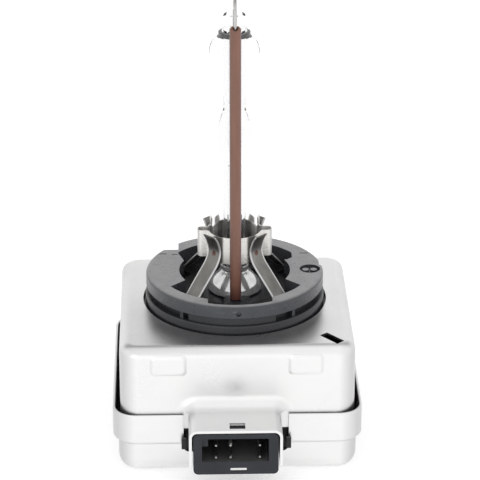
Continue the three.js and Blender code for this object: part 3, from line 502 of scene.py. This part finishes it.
MATERIALS = {
    "case_steel": case_steel(),
    "housing_plastic": moulded("housing_plastic", grey(0.012), grey(0.02), (0.35, 0.5),
                               grey(0.06), specular=0.3),
    "connector_plastic": moulded("connector_plastic", (0.012, 0.014, 0.019, 1),
                                 (0.02, 0.023, 0.03, 1), (0.3, 0.45), grey(0.08), specular=0.35),
    "cap_plastic": cap_plastic(),
    "clamp_steel": polished_clamp(),
    "spring_steel": spring_steel(),
    # painted shade: the spring ring deep in the cap's recess is made nearly black
    "ring_in_shade": surface("ring_in_shade", grey(0.02), grey(0.04), (0.5, 0.65), metallic=0.6,
                          patch=2.0, grain=0.3, relief=0.006),
    "stem_steel": surface("stem_steel", grey(0.66), grey(0.84), (0.08, 0.2), metallic=0.6,
                          patch=1.4, grain=0.4, relief=0.002),
    "jacket_quartz": quartz("jacket_quartz", (1.0, 1.0, 1.0)),
    "arc_quartz": quartz("arc_quartz", (0.99, 0.995, 1.0)),
    # painted shade for the front of the neck's seam
    "seal_shade": surface("seal_shade", grey(0.05), grey(0.08), (0.2, 0.35), patch=0.8, grain=0.2,
                    relief=0.004),
    "tungsten": surface("tungsten", grey(0.20), grey(0.32), (0.35, 0.5), metallic=1.0,
                        patch=0.8, grain=0.2, relief=0.004),
    "molybdenum": surface("molybdenum", grey(0.30), grey(0.48, (1.0, 0.99, 0.97)), (0.3, 0.45),
                          metallic=1.0, patch=1.0, grain=0.2, relief=0.006),
    "salt": surface("salt", (0.55, 0.42, 0.14, 1), (0.75, 0.65, 0.3, 1), (0.4, 0.6),
                    patch=0.3, grain=0.1, relief=0.02),
    "return_nickel": surface("return_nickel", grey(0.42, (1, 0.99, 0.97)),
                             grey(0.56, (1, 0.99, 0.97)), (0.2, 0.3), metallic=1.0, patch=1.0,
                             grain=0.2, relief=0.003),
    "ceramic_brown": fired_ceramic(),
    "ferrite": surface("ferrite", grey(0.02), grey(0.04), (0.55, 0.75), patch=1.2, grain=0.25,
                       relief=0.03),
    "bobbin_plastic": surface("bobbin_plastic", grey(0.62, (1, 0.98, 0.93)),
                              grey(0.74, (1, 0.98, 0.93)), (0.4, 0.55), patch=3.0, grain=0.4,
                              relief=0.01),
    "winding_copper": wound_copper(),
    "board_laminate": board_laminate(),
    "alumina": surface("alumina", grey(0.7, (1, 0.98, 0.94)), grey(0.82, (1, 0.98, 0.95)),
                       (0.35, 0.5), patch=1.5, grain=0.25, relief=0.01),
    "contact_tin": surface("contact_tin", grey(0.55), grey(0.72), (0.25, 0.4), metallic=1.0,
                           patch=1.5, grain=0.25, relief=0.005),
    "pin_tin": surface("pin_tin", grey(0.34, (1, 0.99, 0.96)), grey(0.5, (1, 0.99, 0.96)),
                       (0.3, 0.42), metallic=1.0, patch=1.0, grain=0.2, relief=0.004),
    "capacitor_film": banded("capacitor_film", (0.30, 0.05, 0.025, 1), (0.40, 0.07, 0.03, 1),
                             (0.3, 0.45), 0.18, (0.12, 0.02, 0.012, 1)),
    "resistor_body": banded("resistor_body", (0.10, 0.22, 0.30, 1), (0.14, 0.28, 0.36, 1),
                            (0.3, 0.45), 0.9, (0.25, 0.12, 0.05, 1)),
}


# ---------------------------------------------------------------- steel case
BAND_CORNER = 4.4
BAND_OUT = 1.0                           # from the tray's foot out to its band
TRAY_STEP = (6.0, 7.1)                   # heights where the tray widens into its band
TRAY_ROUND = 3.0
CUTOUT_X = (-9.86, 9.2)                  # the opening in the tray's front
CUTOUT_BOTTOM = 4.5


def case_loop(half, corner, inset, z):
    outline = rounded_rect((0, CASE_Y), (half[0] - inset, half[1] - inset),
                           max(corner - inset, 0.3), 10)
    return [(x, y, z) for x, y in outline]


def tray_rows():
    """(inset from the band, z) up the outside, over the rim and down the inside."""
    base = [(BAND_OUT + TRAY_ROUND * (1 - math.sin(turn)), TRAY_ROUND * (1 - math.cos(turn)))
            for turn in quarter_turn(8)]
    rise = TRAY_STEP[1] - TRAY_STEP[0]
    step = [(BAND_OUT * (1 + math.cos(math.pi * i / 8)) / 2, TRAY_STEP[0] + rise * i / 8)
            for i in range(9)]
    outside = base + step
    inside = [(inset + SHEET, max(z, SHEET) + 0.1) for inset, z in reversed(outside)]
    lip = arc((SHEET / 2, TRAY_HIGH.z - SHEET / 2), SHEET / 2, 180, 0, 8)
    return outside + lip + inside


def bottom_tray():
    tray = skin("tray", [case_loop(BAND_HALF, BAND_CORNER, *row) for row in tray_rows()])
    cutout = upright("cutout", CUTOUT_X, (CUTOUT_BOTTOM, TRAY_HIGH.z + 8), 1.0,
                     [(0, CASE_FRONT - 2), (0, CASE_FRONT + 4)])
    return shaded(combine(tray, "DIFFERENCE", cutout), 32)


SLEEVE_GROW = 0.75                       # from the connector to the outside of the sleeve
SLEEVE_ROUND = 1.5
SLEEVE_FOOT = 6.6
FLARE = 2.4                              # radius of the hollow curve round the sleeve


def sleeve_loop(grow, y, foot=SLEEVE_FOOT):
    """The sleeve's section: square at the foot, rounded at the top."""
    left = SOCKET_LOW.x - SLEEVE_GROW - grow
    right = SOCKET_HIGH.x + SLEEVE_GROW + grow
    top = SOCKET_HIGH.z + SLEEVE_GROW + grow
    radius = max(SLEEVE_ROUND + grow, 0.3)
    outline = [(left, foot), (right, foot)]
    outline += arc((right - radius, top - radius), radius, 0, 90, 10)
    outline += arc((left + radius, top - radius), radius, 90, 180, 10)
    return [(x, y, z) for x, z in outline]


def flare():
    """The hollow curve from the cover's wall out to the sleeve."""
    loops = [sleeve_loop(FLARE, WALL_Y + 0.2)]
    loops += [sleeve_loop(FLARE * (1 - math.sin(turn)), WALL_Y - FLARE * (1 - math.cos(turn)))
              for turn in quarter_turn(14)]
    below = block((-20, 20), (WALL_Y - FLARE - 1, WALL_Y + 1), (0, TRAY_HIGH.z + 0.6))
    return combine(skin("flare", loops), "DIFFERENCE", below)


COVER_CORNER = 3.4
COVER_ROUND = 2.0
COVER_FOOT = COVER_LOW.z + 0.8           # the walls end higher than the sleeve
PAD_SPANS = ((-15.9, -9.1), (9.0, 15.5))
PAD_Z = (19.9, 24.0)
PAD_EDGE = [(0, -0.1), (0, 0), (0.15, 0.05), (0.4, 0.17), (0.65, 0.23), (0.9, 0.25)]
KEY_SLOT_HALF = (2.3, 0.9)
KEY_SLOT_TURN = -50.4
KEY_SLOT_PLACE = (17.1, -18.4)
CAP_HOLE = 17.05                         # radius of the hole that the cap stands in
LATCH_WINDOW = ((-1.7, 1.1), (-31.0, -28.8))  # down through the sleeve and the connector
LUG_NOTCH_TOP = 9.4


def cover_body(inset, foot, top_round):
    rows = [(inset, foot)]
    rows += [(inset + top_round * (1 - math.cos(turn)),
              CASE_TOP - inset - top_round * (1 - math.sin(turn))) for turn in quarter_turn(8)]
    return skin("cover", [case_loop(COVER_HALF, COVER_CORNER, *row) for row in rows])


def pressed_pads():
    """The two shallow pads in the front wall; PAD_EDGE is (inset, height) from foot to face."""
    rows = [(inset, WALL_Y - rise) for inset, rise in PAD_EDGE]
    return [upright("pad", xs, PAD_Z, 1.0, rows) for xs in PAD_SPANS]


def top_cover():
    cover = cover_body(0, COVER_FOOT, COVER_ROUND)
    sleeve = skin("sleeve", [sleeve_loop(0, WALL_Y + 0.3), sleeve_loop(0, SOCKET_LOW.y)])
    combine(cover, "UNION", sleeve, flare(), *pressed_pads())
    hollow = cover_body(SHEET, -1.0, COVER_ROUND - SHEET)
    sleeve_hollow = skin("hollow", [sleeve_loop(-SHEET, WALL_Y + 2, 0),
                                    sleeve_loop(-SHEET, SOCKET_LOW.y - 2, 0)])
    key_slot = block((-KEY_SLOT_HALF[0], KEY_SLOT_HALF[0]), (-KEY_SLOT_HALF[1], KEY_SLOT_HALF[1]),
                     (CASE_TOP - 1.5, CASE_TOP + 1), KEY_SLOT_TURN, KEY_SLOT_PLACE)
    window = block(*LATCH_WINDOW, (12.0, 15.0))
    cap_hole = disc(CAP_HOLE, CASE_TOP - 2, CASE_TOP + 2)
    lug_notch = block((CUTOUT_X[0] - 0.2, CUTOUT_X[1] + 0.2), (WALL_Y - 0.6, WALL_Y + 1),
                      (0, LUG_NOTCH_TOP))
    combine(cover, "DIFFERENCE", hollow, sleeve_hollow, key_slot, window, cap_hole, lug_notch)
    return shaded(cover, 32)


# ---------------------------------------------------------------- housing and connector
HOUSING_WALL = 1.0
HOUSING_ROUND = 2.4
HOUSING_CORNER = 2.8
HOUSING_HALF = (HOUSING_HIGH.x, HOUSING_HIGH.y - CASE_Y)


def snap_lug(side, edge):
    """A neck out through the tray's opening, and a head that hooks round its edge."""
    inner, clear, hook = edge - side * 0.55, edge - side * 0.1, edge + side * 0.4
    neck = block(sorted((inner, clear)), (CASE_FRONT - 1.0, CASE_Y - HOUSING_HALF[1] + 0.5),
                 (6.1, 7.0))
    head = block(sorted((inner, hook)), (CASE_FRONT - 1.2, CASE_FRONT - 0.3), (6.1, 8.2))
    return neck, head


def ignitor_housing():
    rows = [(HOUSING_ROUND * (1 - math.sin(turn)),
             HOUSING_LOW.z + HOUSING_ROUND * (1 - math.cos(turn))) for turn in quarter_turn(6)]
    rim = [(0, HOUSING_HIGH.z), (HOUSING_WALL, HOUSING_HIGH.z)]
    inside = [(inset + HOUSING_WALL, max(z, HOUSING_LOW.z + HOUSING_WALL))
              for inset, z in reversed(rows)]
    housing = skin("housing", [case_loop(HOUSING_HALF, HOUSING_CORNER, *row)
                               for row in rows + rim + inside])
    opening = block((SOCKET_LOW.x - 0.15, SOCKET_HIGH.x + 0.15), (-23, -18),
                    (SOCKET_LOW.z - 0.15, SOCKET_HIGH.z + 0.15))
    combine(housing, "DIFFERENCE", opening)
    for side, edge in zip((-1, 1), CUTOUT_X):
        combine(housing, "UNION", *snap_lug(side, edge))
    return soften(housing, 0.12, 50)


CAVITY_X = (-6.65, 5.26)
CAVITY_Z = (7.5, 12.14)
CAVITY_BACK = -23.6
LATCH_SLOT_X = (-1.6, 1.35)
LATCH_SLOT_Z = (5.6, 6.3)
KEY_RIB_WIDTH = 1.1
KEY_RIB_FOOT = 10.3
PIN_HALF = 0.32


def connector_socket():
    """The socket's body with its cavity, the latch slot in its rim, a window and a key rib."""
    front, back = SOCKET_LOW.y, SOCKET_HIGH.y
    xs, zs = (SOCKET_LOW.x, SOCKET_HIGH.x), (SOCKET_LOW.z, SOCKET_HIGH.z)
    socket = upright("socket", xs, zs, 0.9, [(0, back), (0, front)])
    cavity = upright("cavity", CAVITY_X, CAVITY_Z, 0.35, [(0, CAVITY_BACK), (0, front - 1)])
    latch_slot = upright("slot", LATCH_SLOT_X, LATCH_SLOT_Z, 0.2,
                         [(0, front + 2.4), (0, front - 1)])
    window = block(*LATCH_WINDOW, (CAVITY_Z[1] - 1, SOCKET_HIGH.z + 1))
    slot_below = block(LATCH_SLOT_X, (front + 0.5, front + 4.5),
                       (SOCKET_LOW.z - 1, LATCH_SLOT_Z[1]))
    combine(socket, "DIFFERENCE", cavity, latch_slot, window, slot_below)
    rib = block((CAVITY_X[0] - 0.2, CAVITY_X[0] + KEY_RIB_WIDTH),
                (front + 0.8, CAVITY_BACK + 0.2), (KEY_RIB_FOOT, CAVITY_Z[1] + 0.2))
    combine(socket, "UNION", rib)
    return soften(socket, 0.15, 50)


def contact_pin(low, high):
    """A square pin with rounded corners and a tapered tip."""
    centre = ((low.x + high.x) / 2, (low.z + high.z) / 2)
    rows = [(PIN_HALF, high.y), (PIN_HALF, low.y + 0.6), (0.26, low.y + 0.2), (0.15, low.y)]
    loops = []
    for half, y in rows:
        outline = rounded_rect(centre, (half, half), half * 0.3, 3)
        loops.append([(x, y, z) for x, z in outline])
    return shaded(skin("pin", loops))


# ---------------------------------------------------------------- plastic cap
CAP_RADIUS = 16.45
CAP_NECK = 15.2                          # radius in the groove under the rim
CAP_FOOT = 16.6
CAP_FLANGE = 17.8                        # radius of the flange under the cover's sheet
CAP_BORE = 12.0                          # radius of the hollow below
STEM_BORE = 3.4
CAP_BOTTOM = 22.8
FLANGE_TOP = CASE_TOP - SHEET - 0.35
BORE_TOP = 25.5
FOOT_TOP = 26.9
DECK = 27.0                              # floor of the recess in the cap's top
GROOVE = (FOOT_TOP - 0.1, CAP_DISC + 0.1)

FRONT_SECTOR = [(-9.2, -4.6), (-14.5, -9.9), (-14.5, -20), (14.5, -20), (14.5, -9.9), (9.2, -4.6)]
BACK_SECTOR = [(-9.4, 4.2), (-10.9, 9.2), (-10.9, 20), (10.9, 20), (10.9, 5.2), (9.9, 4.2)]
DEEP_SECTOR = [(-5.2, -20), (6.5, -20), (6.5, -5.6), (-5.2, -5.6)]

KEYWAY = ((-13.4, -10.4), (9.3, 18))
SIDE_FLAT = ((15.8, 18), (1.6, 9))
INDEX_MARKS = (((-14.1, -12.6), 7.4), ((-11.6, -10.5), 7.1), ((12.4, 14.0), 7.1))
DIAL_PLACE = (14.0, -0.1)                # a round dimple in the cap's top, with two studs
DIAL_RADIUS = 1.9
STUDS_X = (13.2, 14.7)
STUD_RADIUS = 0.62
WIRE_HOLE = 1.0


def cap_body():
    """Flange, foot, groove and rim, with the hollow below and the bore of the stem."""
    profile = [(CAP_BORE, CAP_BOTTOM), (CAP_FLANGE, CAP_BOTTOM)]
    profile += [(CAP_FLANGE, FLANGE_TOP), (CAP_FOOT, FLANGE_TOP)]
    profile += arc((CAP_FOOT - 0.35, FOOT_TOP - 0.35), 0.35, 0, 90, 4)
    profile += [(CAP_NECK, FOOT_TOP), (CAP_NECK, CAP_DISC)]
    profile += arc((CAP_RADIUS - 0.3, CAP_DISC + 0.3), 0.3, -90, 0, 4)
    profile += arc((CAP_RADIUS - 0.5, CAP_TOP - 0.5), 0.5, 0, 90, 6)
    profile += [(STEM_BORE, CAP_TOP), (STEM_BORE, BORE_TOP), (CAP_BORE, BORE_TOP)]
    return turned("cap", profile, 160)


def groove_web():
    """The web that fills the front of the groove, and the two ribs beside it."""
    beyond = (GROOVE[0] - 1, GROOVE[1] + 1)
    web = combine(disc(16.1, *GROOVE), "DIFFERENCE", disc(14.4, *beyond))
    combine(web, "INTERSECT", block((-8.7, 7.1), (-20, 0), beyond))
    ribs = [block((14.6, 16.2), (-0.35, 0.35), GROOVE, degrees) for degrees in (-128, -50)]
    return [web, *ribs]


def recess_tool():
    """The hollow in the cap's top: round, narrower between the two seats at the sides."""
    tool = disc(10.3, DECK, CAP_TOP + 1)
    for radius, plan in ((14.0, FRONT_SECTOR), (13.2, BACK_SECTOR), (15.7, DEEP_SECTOR)):
        sector = skin("sector", [[(x, y, z) for x, y in plan] for z in (DECK - 1, CAP_TOP + 2)])
        combine(tool, "UNION", combine(disc(radius, DECK, CAP_TOP + 1), "INTERSECT", sector))
    return tool


def rim_cuts():
    """Keyway, side flat, dial, hole for the return wire, index marks, and a dimple in the side."""
    through = (CAP_DISC - 0.1, CAP_TOP + 1)
    shallow = (CAP_TOP - 0.5, CAP_TOP + 1)
    marks = [block(xs, (y - 0.13, y + 0.13), shallow) for xs, y in INDEX_MARKS]
    dimple = swept("dimple", [Vector((0.3, y, 29.3)) for y in (-17.0, -16.0)], 0.5, 20)
    return [block(*KEYWAY, through), block(*SIDE_FLAT, through),
            disc(DIAL_RADIUS, *shallow, DIAL_PLACE, 48),
            disc(WIRE_HOLE, 24, CAP_TOP, (0, CERAMIC_Y), 32), *marks, dimple]


def base_ring():
    ring = combine(cap_body(), "UNION", *groove_web())
    combine(ring, "DIFFERENCE", recess_tool())
    ceramic_seat = block((-2.1, 2.6), (-15.2, -5.4), (DECK - 0.2, 27.8))
    combine(ring, "UNION", ceramic_seat)
    combine(ring, "DIFFERENCE", *rim_cuts())
    studs = [disc(STUD_RADIUS, CAP_TOP - 0.6, CAP_TOP - 0.12, (x, DIAL_PLACE[1]), 32)
             for x in STUDS_X]
    combine(ring, "UNION", *studs)
    return soften(ring, 0.14, 38)


# ---------------------------------------------------------------- springs, clamp and stem
SPRING_LINE = [(12.2, 27.95), (11.2, 29.0), (9.9, 30.35), (7.9, 32.35), (6.2, 34.1), (5.45, 35.6),
               (5.4, 36.8), (5.8, 38.1), (6.25, 39.0), (6.7, 39.6)]
SPRING_SHEET = 0.25
SPRING_TURNS = {"front_right": -45, "back_right": 45, "back_left": 135, "front_left": -135}
CLAMP_RADIUS = 4.98
EAR_HALF = 1.0
EAR_FILLET = 0.45                        # from the round of the clamp into an ear
EAR_ROUND = 0.7


def spring_leg(degrees):
    """A strip along SPRING_LINE, which is (radius, z), turned to its place round the burner."""
    line = smooth(SPRING_LINE, 6)
    cos, sin = math.cos(math.radians(degrees)), math.sin(math.radians(degrees))
    section = rounded_rect((0, 0), (SPRING_HALF, SPRING_SHEET / 2), SPRING_SHEET * 0.45, 3)
    loops = []
    for i, point in enumerate(line):
        along = heading(line, i)
        loop = []
        for across, out in section:
            radius = point.x - along.y * out
            height = point.y + along.x * out
            loop.append((radius * cos - across * sin, radius * sin + across * cos, height))
        loops.append(loop)
    return shaded(skin("spring", loops), 50)


def clamp_outline():
    """Middle line of the clamp's sheet: round the glass, and out and back along two ears."""
    turn = math.degrees(math.asin((EAR_HALF + EAR_FILLET) / (CLAMP_RADIUS + EAR_FILLET)))
    reach = (CLAMP_RADIUS + EAR_FILLET) * math.cos(math.radians(turn))
    quarter = arc((0, 0), CLAMP_RADIUS, -90, -turn, 14)
    quarter += arc((reach, -EAR_HALF - EAR_FILLET), EAR_FILLET, 180 - turn, 90, 4)
    quarter += arc((EAR_REACH - EAR_ROUND, -EAR_HALF + EAR_ROUND), EAR_ROUND, -90, 0, 5)
    outline = []
    for sx, sy, backwards in ((1, 1, False), (1, -1, True), (-1, -1, False), (-1, 1, True)):
        part = [(x * sx, y * sy) for x, y in quarter]
        outline += reversed(part) if backwards else part
    return [p for i, p in enumerate(outline) if math.dist(p, outline[i - 1]) > 1e-3]


def clamp_band():
    line = clamp_outline()
    centre = (0, (CLAMP_LOW.z + CLAMP_HIGH.z) / 2)
    half = (CLAMP_SHEET / 2, (CLAMP_HIGH.z - CLAMP_LOW.z) / 2)
    section = rounded_rect(centre, half, CLAMP_SHEET * 0.45, 3)
    loops = []
    for i, (x, y) in enumerate(line):
        before, after = line[i - 1], line[(i + 1) % len(line)]
        away = Vector((after[1] - before[1], before[0] - after[0])).normalized()
        loops.append([(x + away.x * out, y + away.y * out, z) for out, z in section])
    return shaded(skin("clamp", loops, ring=True), 50)


def stem_collar():
    """A flat flange with a hollow cone up to the burner's stem."""
    cone = smooth([(4.9, 27.9), (4.6, 28.7), (3.9, 29.6), (3.1, 30.5), (2.62, 30.95)], 5)
    profile = [(2.25, 27.2), (4.8, 27.2), (4.95, 27.35), (4.95, 27.8)]
    profile += [tuple(p) for p in cone] + [(2.5, 31.1), (2.25, 31.1)]
    return shaded(turned("collar", profile), 30)


def stem_ring():
    return shaded(turned("ring", rounded_rect((2.45, 31.825), (0.2, 0.425), 0.12, 4), 96), 50)


# ---------------------------------------------------------------- burner
SEAL_FOOT = (76.45, 76.85)               # its lower edge at the neck's sides, and at its front
SEAL_RADII = (2.32, 3.1)
CERAMIC_RADIUS = 1.04
CERAMIC_BORE = 0.6
WIRE_RADIUS = 0.3


def outer_jacket():
    foot = smooth([(2.9, 33.0), (4.0, 33.9), (4.55, 34.9), (4.6, 35.4)], 6)
    head = smooth([(4.6, 73.6), (4.35, 75.0), (3.7, 76.0), (2.95, 76.8), (2.9, 77.4)], 6)
    inside_head = smooth([(2.3, 76.4), (3.2, 75.4), (3.7, 74.4), (3.75, 73.6)], 5)
    inside_foot = smooth([(3.75, 35.6), (3.2, 34.4), (2.3, 34.1)], 5)
    profile = [(2.3, 33.0), *foot, *head, (2.75, 77.6), (2.3, 77.6), *inside_head, *inside_foot]
    return shaded(turned("jacket", [tuple(p) for p in profile]), 30)


def paint_seal_shade(jacket):
    """The seam at the neck, where the jacket is fused to the inner tube, painted dark as shade on
    its front half.
    """
    jacket.data.materials.append(MATERIALS["seal_shade"])
    for face in jacket.data.polygons:
        centre = face.center / MM
        radius = math.hypot(centre.x, centre.y)
        front = max(0.0, -centre.y / radius)
        foot = SEAL_FOOT[0] + (SEAL_FOOT[1] - SEAL_FOOT[0]) * front
        # painted shade: only the front half of the seam turns dark
        if centre.y < 0.4 and SEAL_RADII[0] < radius < SEAL_RADII[1] and centre.z > foot:
            face.material_index = 1


def arc_tube():
    """The bulb round the arc, its chamber inside, and the tube's two legs."""
    bulge = [(2.0, 5.6), (2.15, 4.4), (2.6, 3.2), (2.9, 1.6), (3.0, 0.0)]
    lower = [(2.0, LIGHT_CENTRE - 7.0)] + [(r, LIGHT_CENTRE - d) for r, d in bulge]
    upper = [(r, LIGHT_CENTRE + d) for r, d in reversed(bulge)] + [(2.0, LIGHT_CENTRE + 7.0)]
    half = [(1.15, 6.2), (0.45, 5.6), (0.45, 3.9), (0.95, 2.8), (1.35, 1.2)]
    chamber = [(r, LIGHT_CENTRE + d) for r, d in half]
    chamber += [(r, LIGHT_CENTRE - d) for r, d in reversed(half)]
    profile = [(2.0, ARC_LOW.z)] + [tuple(p) for p in smooth(lower + upper[1:], 5)]
    profile += arc((1.7, ARC_HIGH.z - 0.3), 0.3, 0, 90, 4)
    profile += [(1.15, ARC_HIGH.z)] + chamber + [(1.15, ARC_LOW.z)]
    return shaded(turned("arc", profile, 96), 30)


def ceramic_tube():
    """The tube's upper lip is chipped into a shallow notch at the front."""
    outer, bore, segments = CERAMIC_RADIUS, CERAMIC_BORE, 48
    loops = []
    for i in range(segments):
        degrees = 360 * i / segments
        front = max(0.0, 1 - abs(degrees - 270) / 40)
        top = CERAMIC_HIGH.z - 0.5 * front - 0.12 * (1 + math.sin(math.radians(5 * degrees)))
        profile = [(bore, CERAMIC_LOW.z), (outer, CERAMIC_LOW.z), (outer, 40), (outer, 55),
                   (outer, 70), (outer, top - 0.12), (outer - 0.12, top), (bore, top)]
        loops.append([polar(r, degrees, z, (0, CERAMIC_Y)) for r, z in profile])
    return shaded(skin("ceramic", loops, ring=True), 40)


def return_wire():
    """From the burner's tip over in a loop and down the ceramic tube's bore."""
    line = smooth([(0, 0, 81.9), (0, -0.2, 83.2), (0.02, -1.6, 84.6), (0.02, -4.0, 84.7),
                   (0, -6.0, 83.6), (0, CERAMIC_Y, 81.8), (0, CERAMIC_Y, 78.0)], 8)
    line += [Vector((0, CERAMIC_Y, z)) for z in (70, 50, WIRE_FOOT)]
    return shaded(swept("wire", line, WIRE_RADIUS))


# ---------------------------------------------------------------- all pieces
def piece(obj, name, look):
    """A finished piece that stands for the CAD node of the same name."""
    obj.name = name + "_look"
    obj.data.materials.clear()
    obj.data.materials.append(MATERIALS[look])
    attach(obj, "root")
    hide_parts(name)
    return obj


piece(bottom_tray(), "bottom_tray", "case_steel")
piece(top_cover(), "top_cover", "case_steel")
piece(ignitor_housing(), "ignitor_housing", "housing_plastic")
piece(connector_socket(), "connector_socket", "connector_plastic")
for column in (1, 2, 3):
    for row_name in ("upper", "lower"):
        pin_name = f"contact_pin_{column}_{row_name}"
        piece(contact_pin(*node_box(pin_name)), pin_name, "pin_tin")
piece(base_ring(), "base_ring", "cap_plastic")
for place, degrees in SPRING_TURNS.items():
    piece(spring_leg(degrees), f"spring_leg_{place}", "spring_steel")
piece(clamp_band(), "clamp_band", "clamp_steel")
piece(stem_collar(), "stem_collar", "stem_steel")
piece(stem_ring(), "stem_ring", "stem_steel")
paint_seal_shade(piece(outer_jacket(), "outer_jacket", "jacket_quartz"))
piece(arc_tube(), "arc_tube", "arc_quartz")
piece(ceramic_tube(), "ceramic_tube", "ceramic_brown")
piece(return_wire(), "return_wire", "return_nickel")

# CAD nodes that keep their own mesh, by look
KEPT_NODES = {
    "ring_in_shade": ["spring_ring"],
    "tungsten": ["electrode_lower", "electrode_upper"],
    "molybdenum": ["foil_lower", "foil_upper", "lead_wire_lower", "lead_wire_upper"],
    "salt": ["salt_deposit"],
    "ferrite": ["transformer_core"],
    "bobbin_plastic": ["transformer_bobbin"],
    "winding_copper": ["primary_winding"] + [f"secondary_winding_{i}" for i in range(1, 6)],
    "board_laminate": ["circuit_board"],
    "alumina": ["spark_gap_body"],
    "contact_tin": ["spark_gap_cap_left", "spark_gap_cap_right", "hv_contact", "return_contact"],
    "capacitor_film": ["charging_capacitor"],
    "resistor_body": ["bleed_resistor"],
}

for look, members in KEPT_NODES.items():
    for member in members:
        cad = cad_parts[member]
        cad.data.materials.clear()
        cad.data.materials.append(MATERIALS[look])


# ---------------------------------------------------------------- floor, light and camera
FLOOR_HALF = 4000
FLOOR_GLOW = 0.39
WORLD_TONES = [                          # degrees up from the back horizon, over to the front
    (0, 1.15), (22, 1.12), (42, 0.5), (58, 0.36), (80, 0.95), (104, 1.1), (150, 1.05), (180, 1.1)]
SIDE_TONE = 1.25
CAMERA_PLACE = Vector((-10.79, -420.7, 220.1))
CAMERA_TARGET = Vector((1.0, 0.0, 36.76))
CAMERA_LENS = 186.02


def studio_floor():
    """A plain pale slab that glows a little, so that it ends in white."""
    outline = rounded_rect((0, 0), (FLOOR_HALF, FLOOR_HALF), 10, 2)
    floor = skin("floor", [[(x, y, z) for x, y in outline] for z in (-5.0, -0.02)])
    pale = surface("studio_floor", grey(0.80), grey(0.82), (0.7, 0.8), patch=300.0, grain=40.0,
                   relief=0.02, specular=0.1)
    shader = pale.node_tree.nodes["Principled BSDF"]
    shader.inputs["Emission Color"].default_value = grey(1.0)
    shader.inputs["Emission Strength"].default_value = FLOOR_GLOW
    floor.data.materials.append(pale)


def area_light(name, place, target, size, strength):
    data = bpy.data.lights.new(name, "AREA")
    data.shape = "RECTANGLE"
    data.size, data.size_y = size[0] * MM, size[1] * MM
    data.energy = strength
    light = bpy.data.objects.new(name, data)
    light.location = Vector(place) * MM
    light.rotation_euler = (Vector(target) - Vector(place)).to_track_quat("-Z", "Y").to_euler()
    bpy.context.scene.collection.objects.link(light)


def studio_world():
    """A pale room with soft light all round, and a darker band high up at the back."""
    world = bpy.data.worlds.new("studio")
    world.use_nodes = True
    tree = world.node_tree
    direction = node(tree, "ShaderNodeTexCoord").outputs["Generated"]
    x, y, z = (component(tree, direction, axis) for axis in "XYZ")
    over = maths(tree, "DIVIDE", maths(tree, "ARCTAN2", z, y), math.pi)
    tones = node(tree, "ShaderNodeValToRGB", {"Fac": over})
    stops = tones.color_ramp.elements
    while len(stops) < len(WORLD_TONES):
        stops.new(0.5)
    for stop, (degrees, tone) in zip(stops, WORLD_TONES):
        stop.position = degrees / 180
        stop.color = grey(tone)
    aside = ramp(tree, maths(tree, "ABSOLUTE", x), 0.0, 1.0, 0.55, 0.95)
    light = mixed(tree, aside, tones.outputs["Color"], grey(SIDE_TONE))
    tree.links.new(light, tree.nodes["Background"].inputs["Color"])
    bpy.context.scene.world = world


def photo_camera():
    data = bpy.data.cameras.new("camera")
    data.lens = CAMERA_LENS
    data.sensor_width = 36.0
    data.clip_start, data.clip_end = 0.01, 20.0
    camera = bpy.data.objects.new("camera", data)
    camera.location = CAMERA_PLACE * MM
    camera.rotation_euler = (CAMERA_TARGET - CAMERA_PLACE).to_track_quat("-Z", "Y").to_euler()
    bpy.context.scene.collection.objects.link(camera)
    bpy.context.scene.camera = camera


studio_floor()
studio_world()
area_light("front_fill", (-260, -620, 120), (0, 0, 20), (400, 300), 0.25)
photo_camera()
bpy.context.scene.view_settings.view_transform = "Standard"
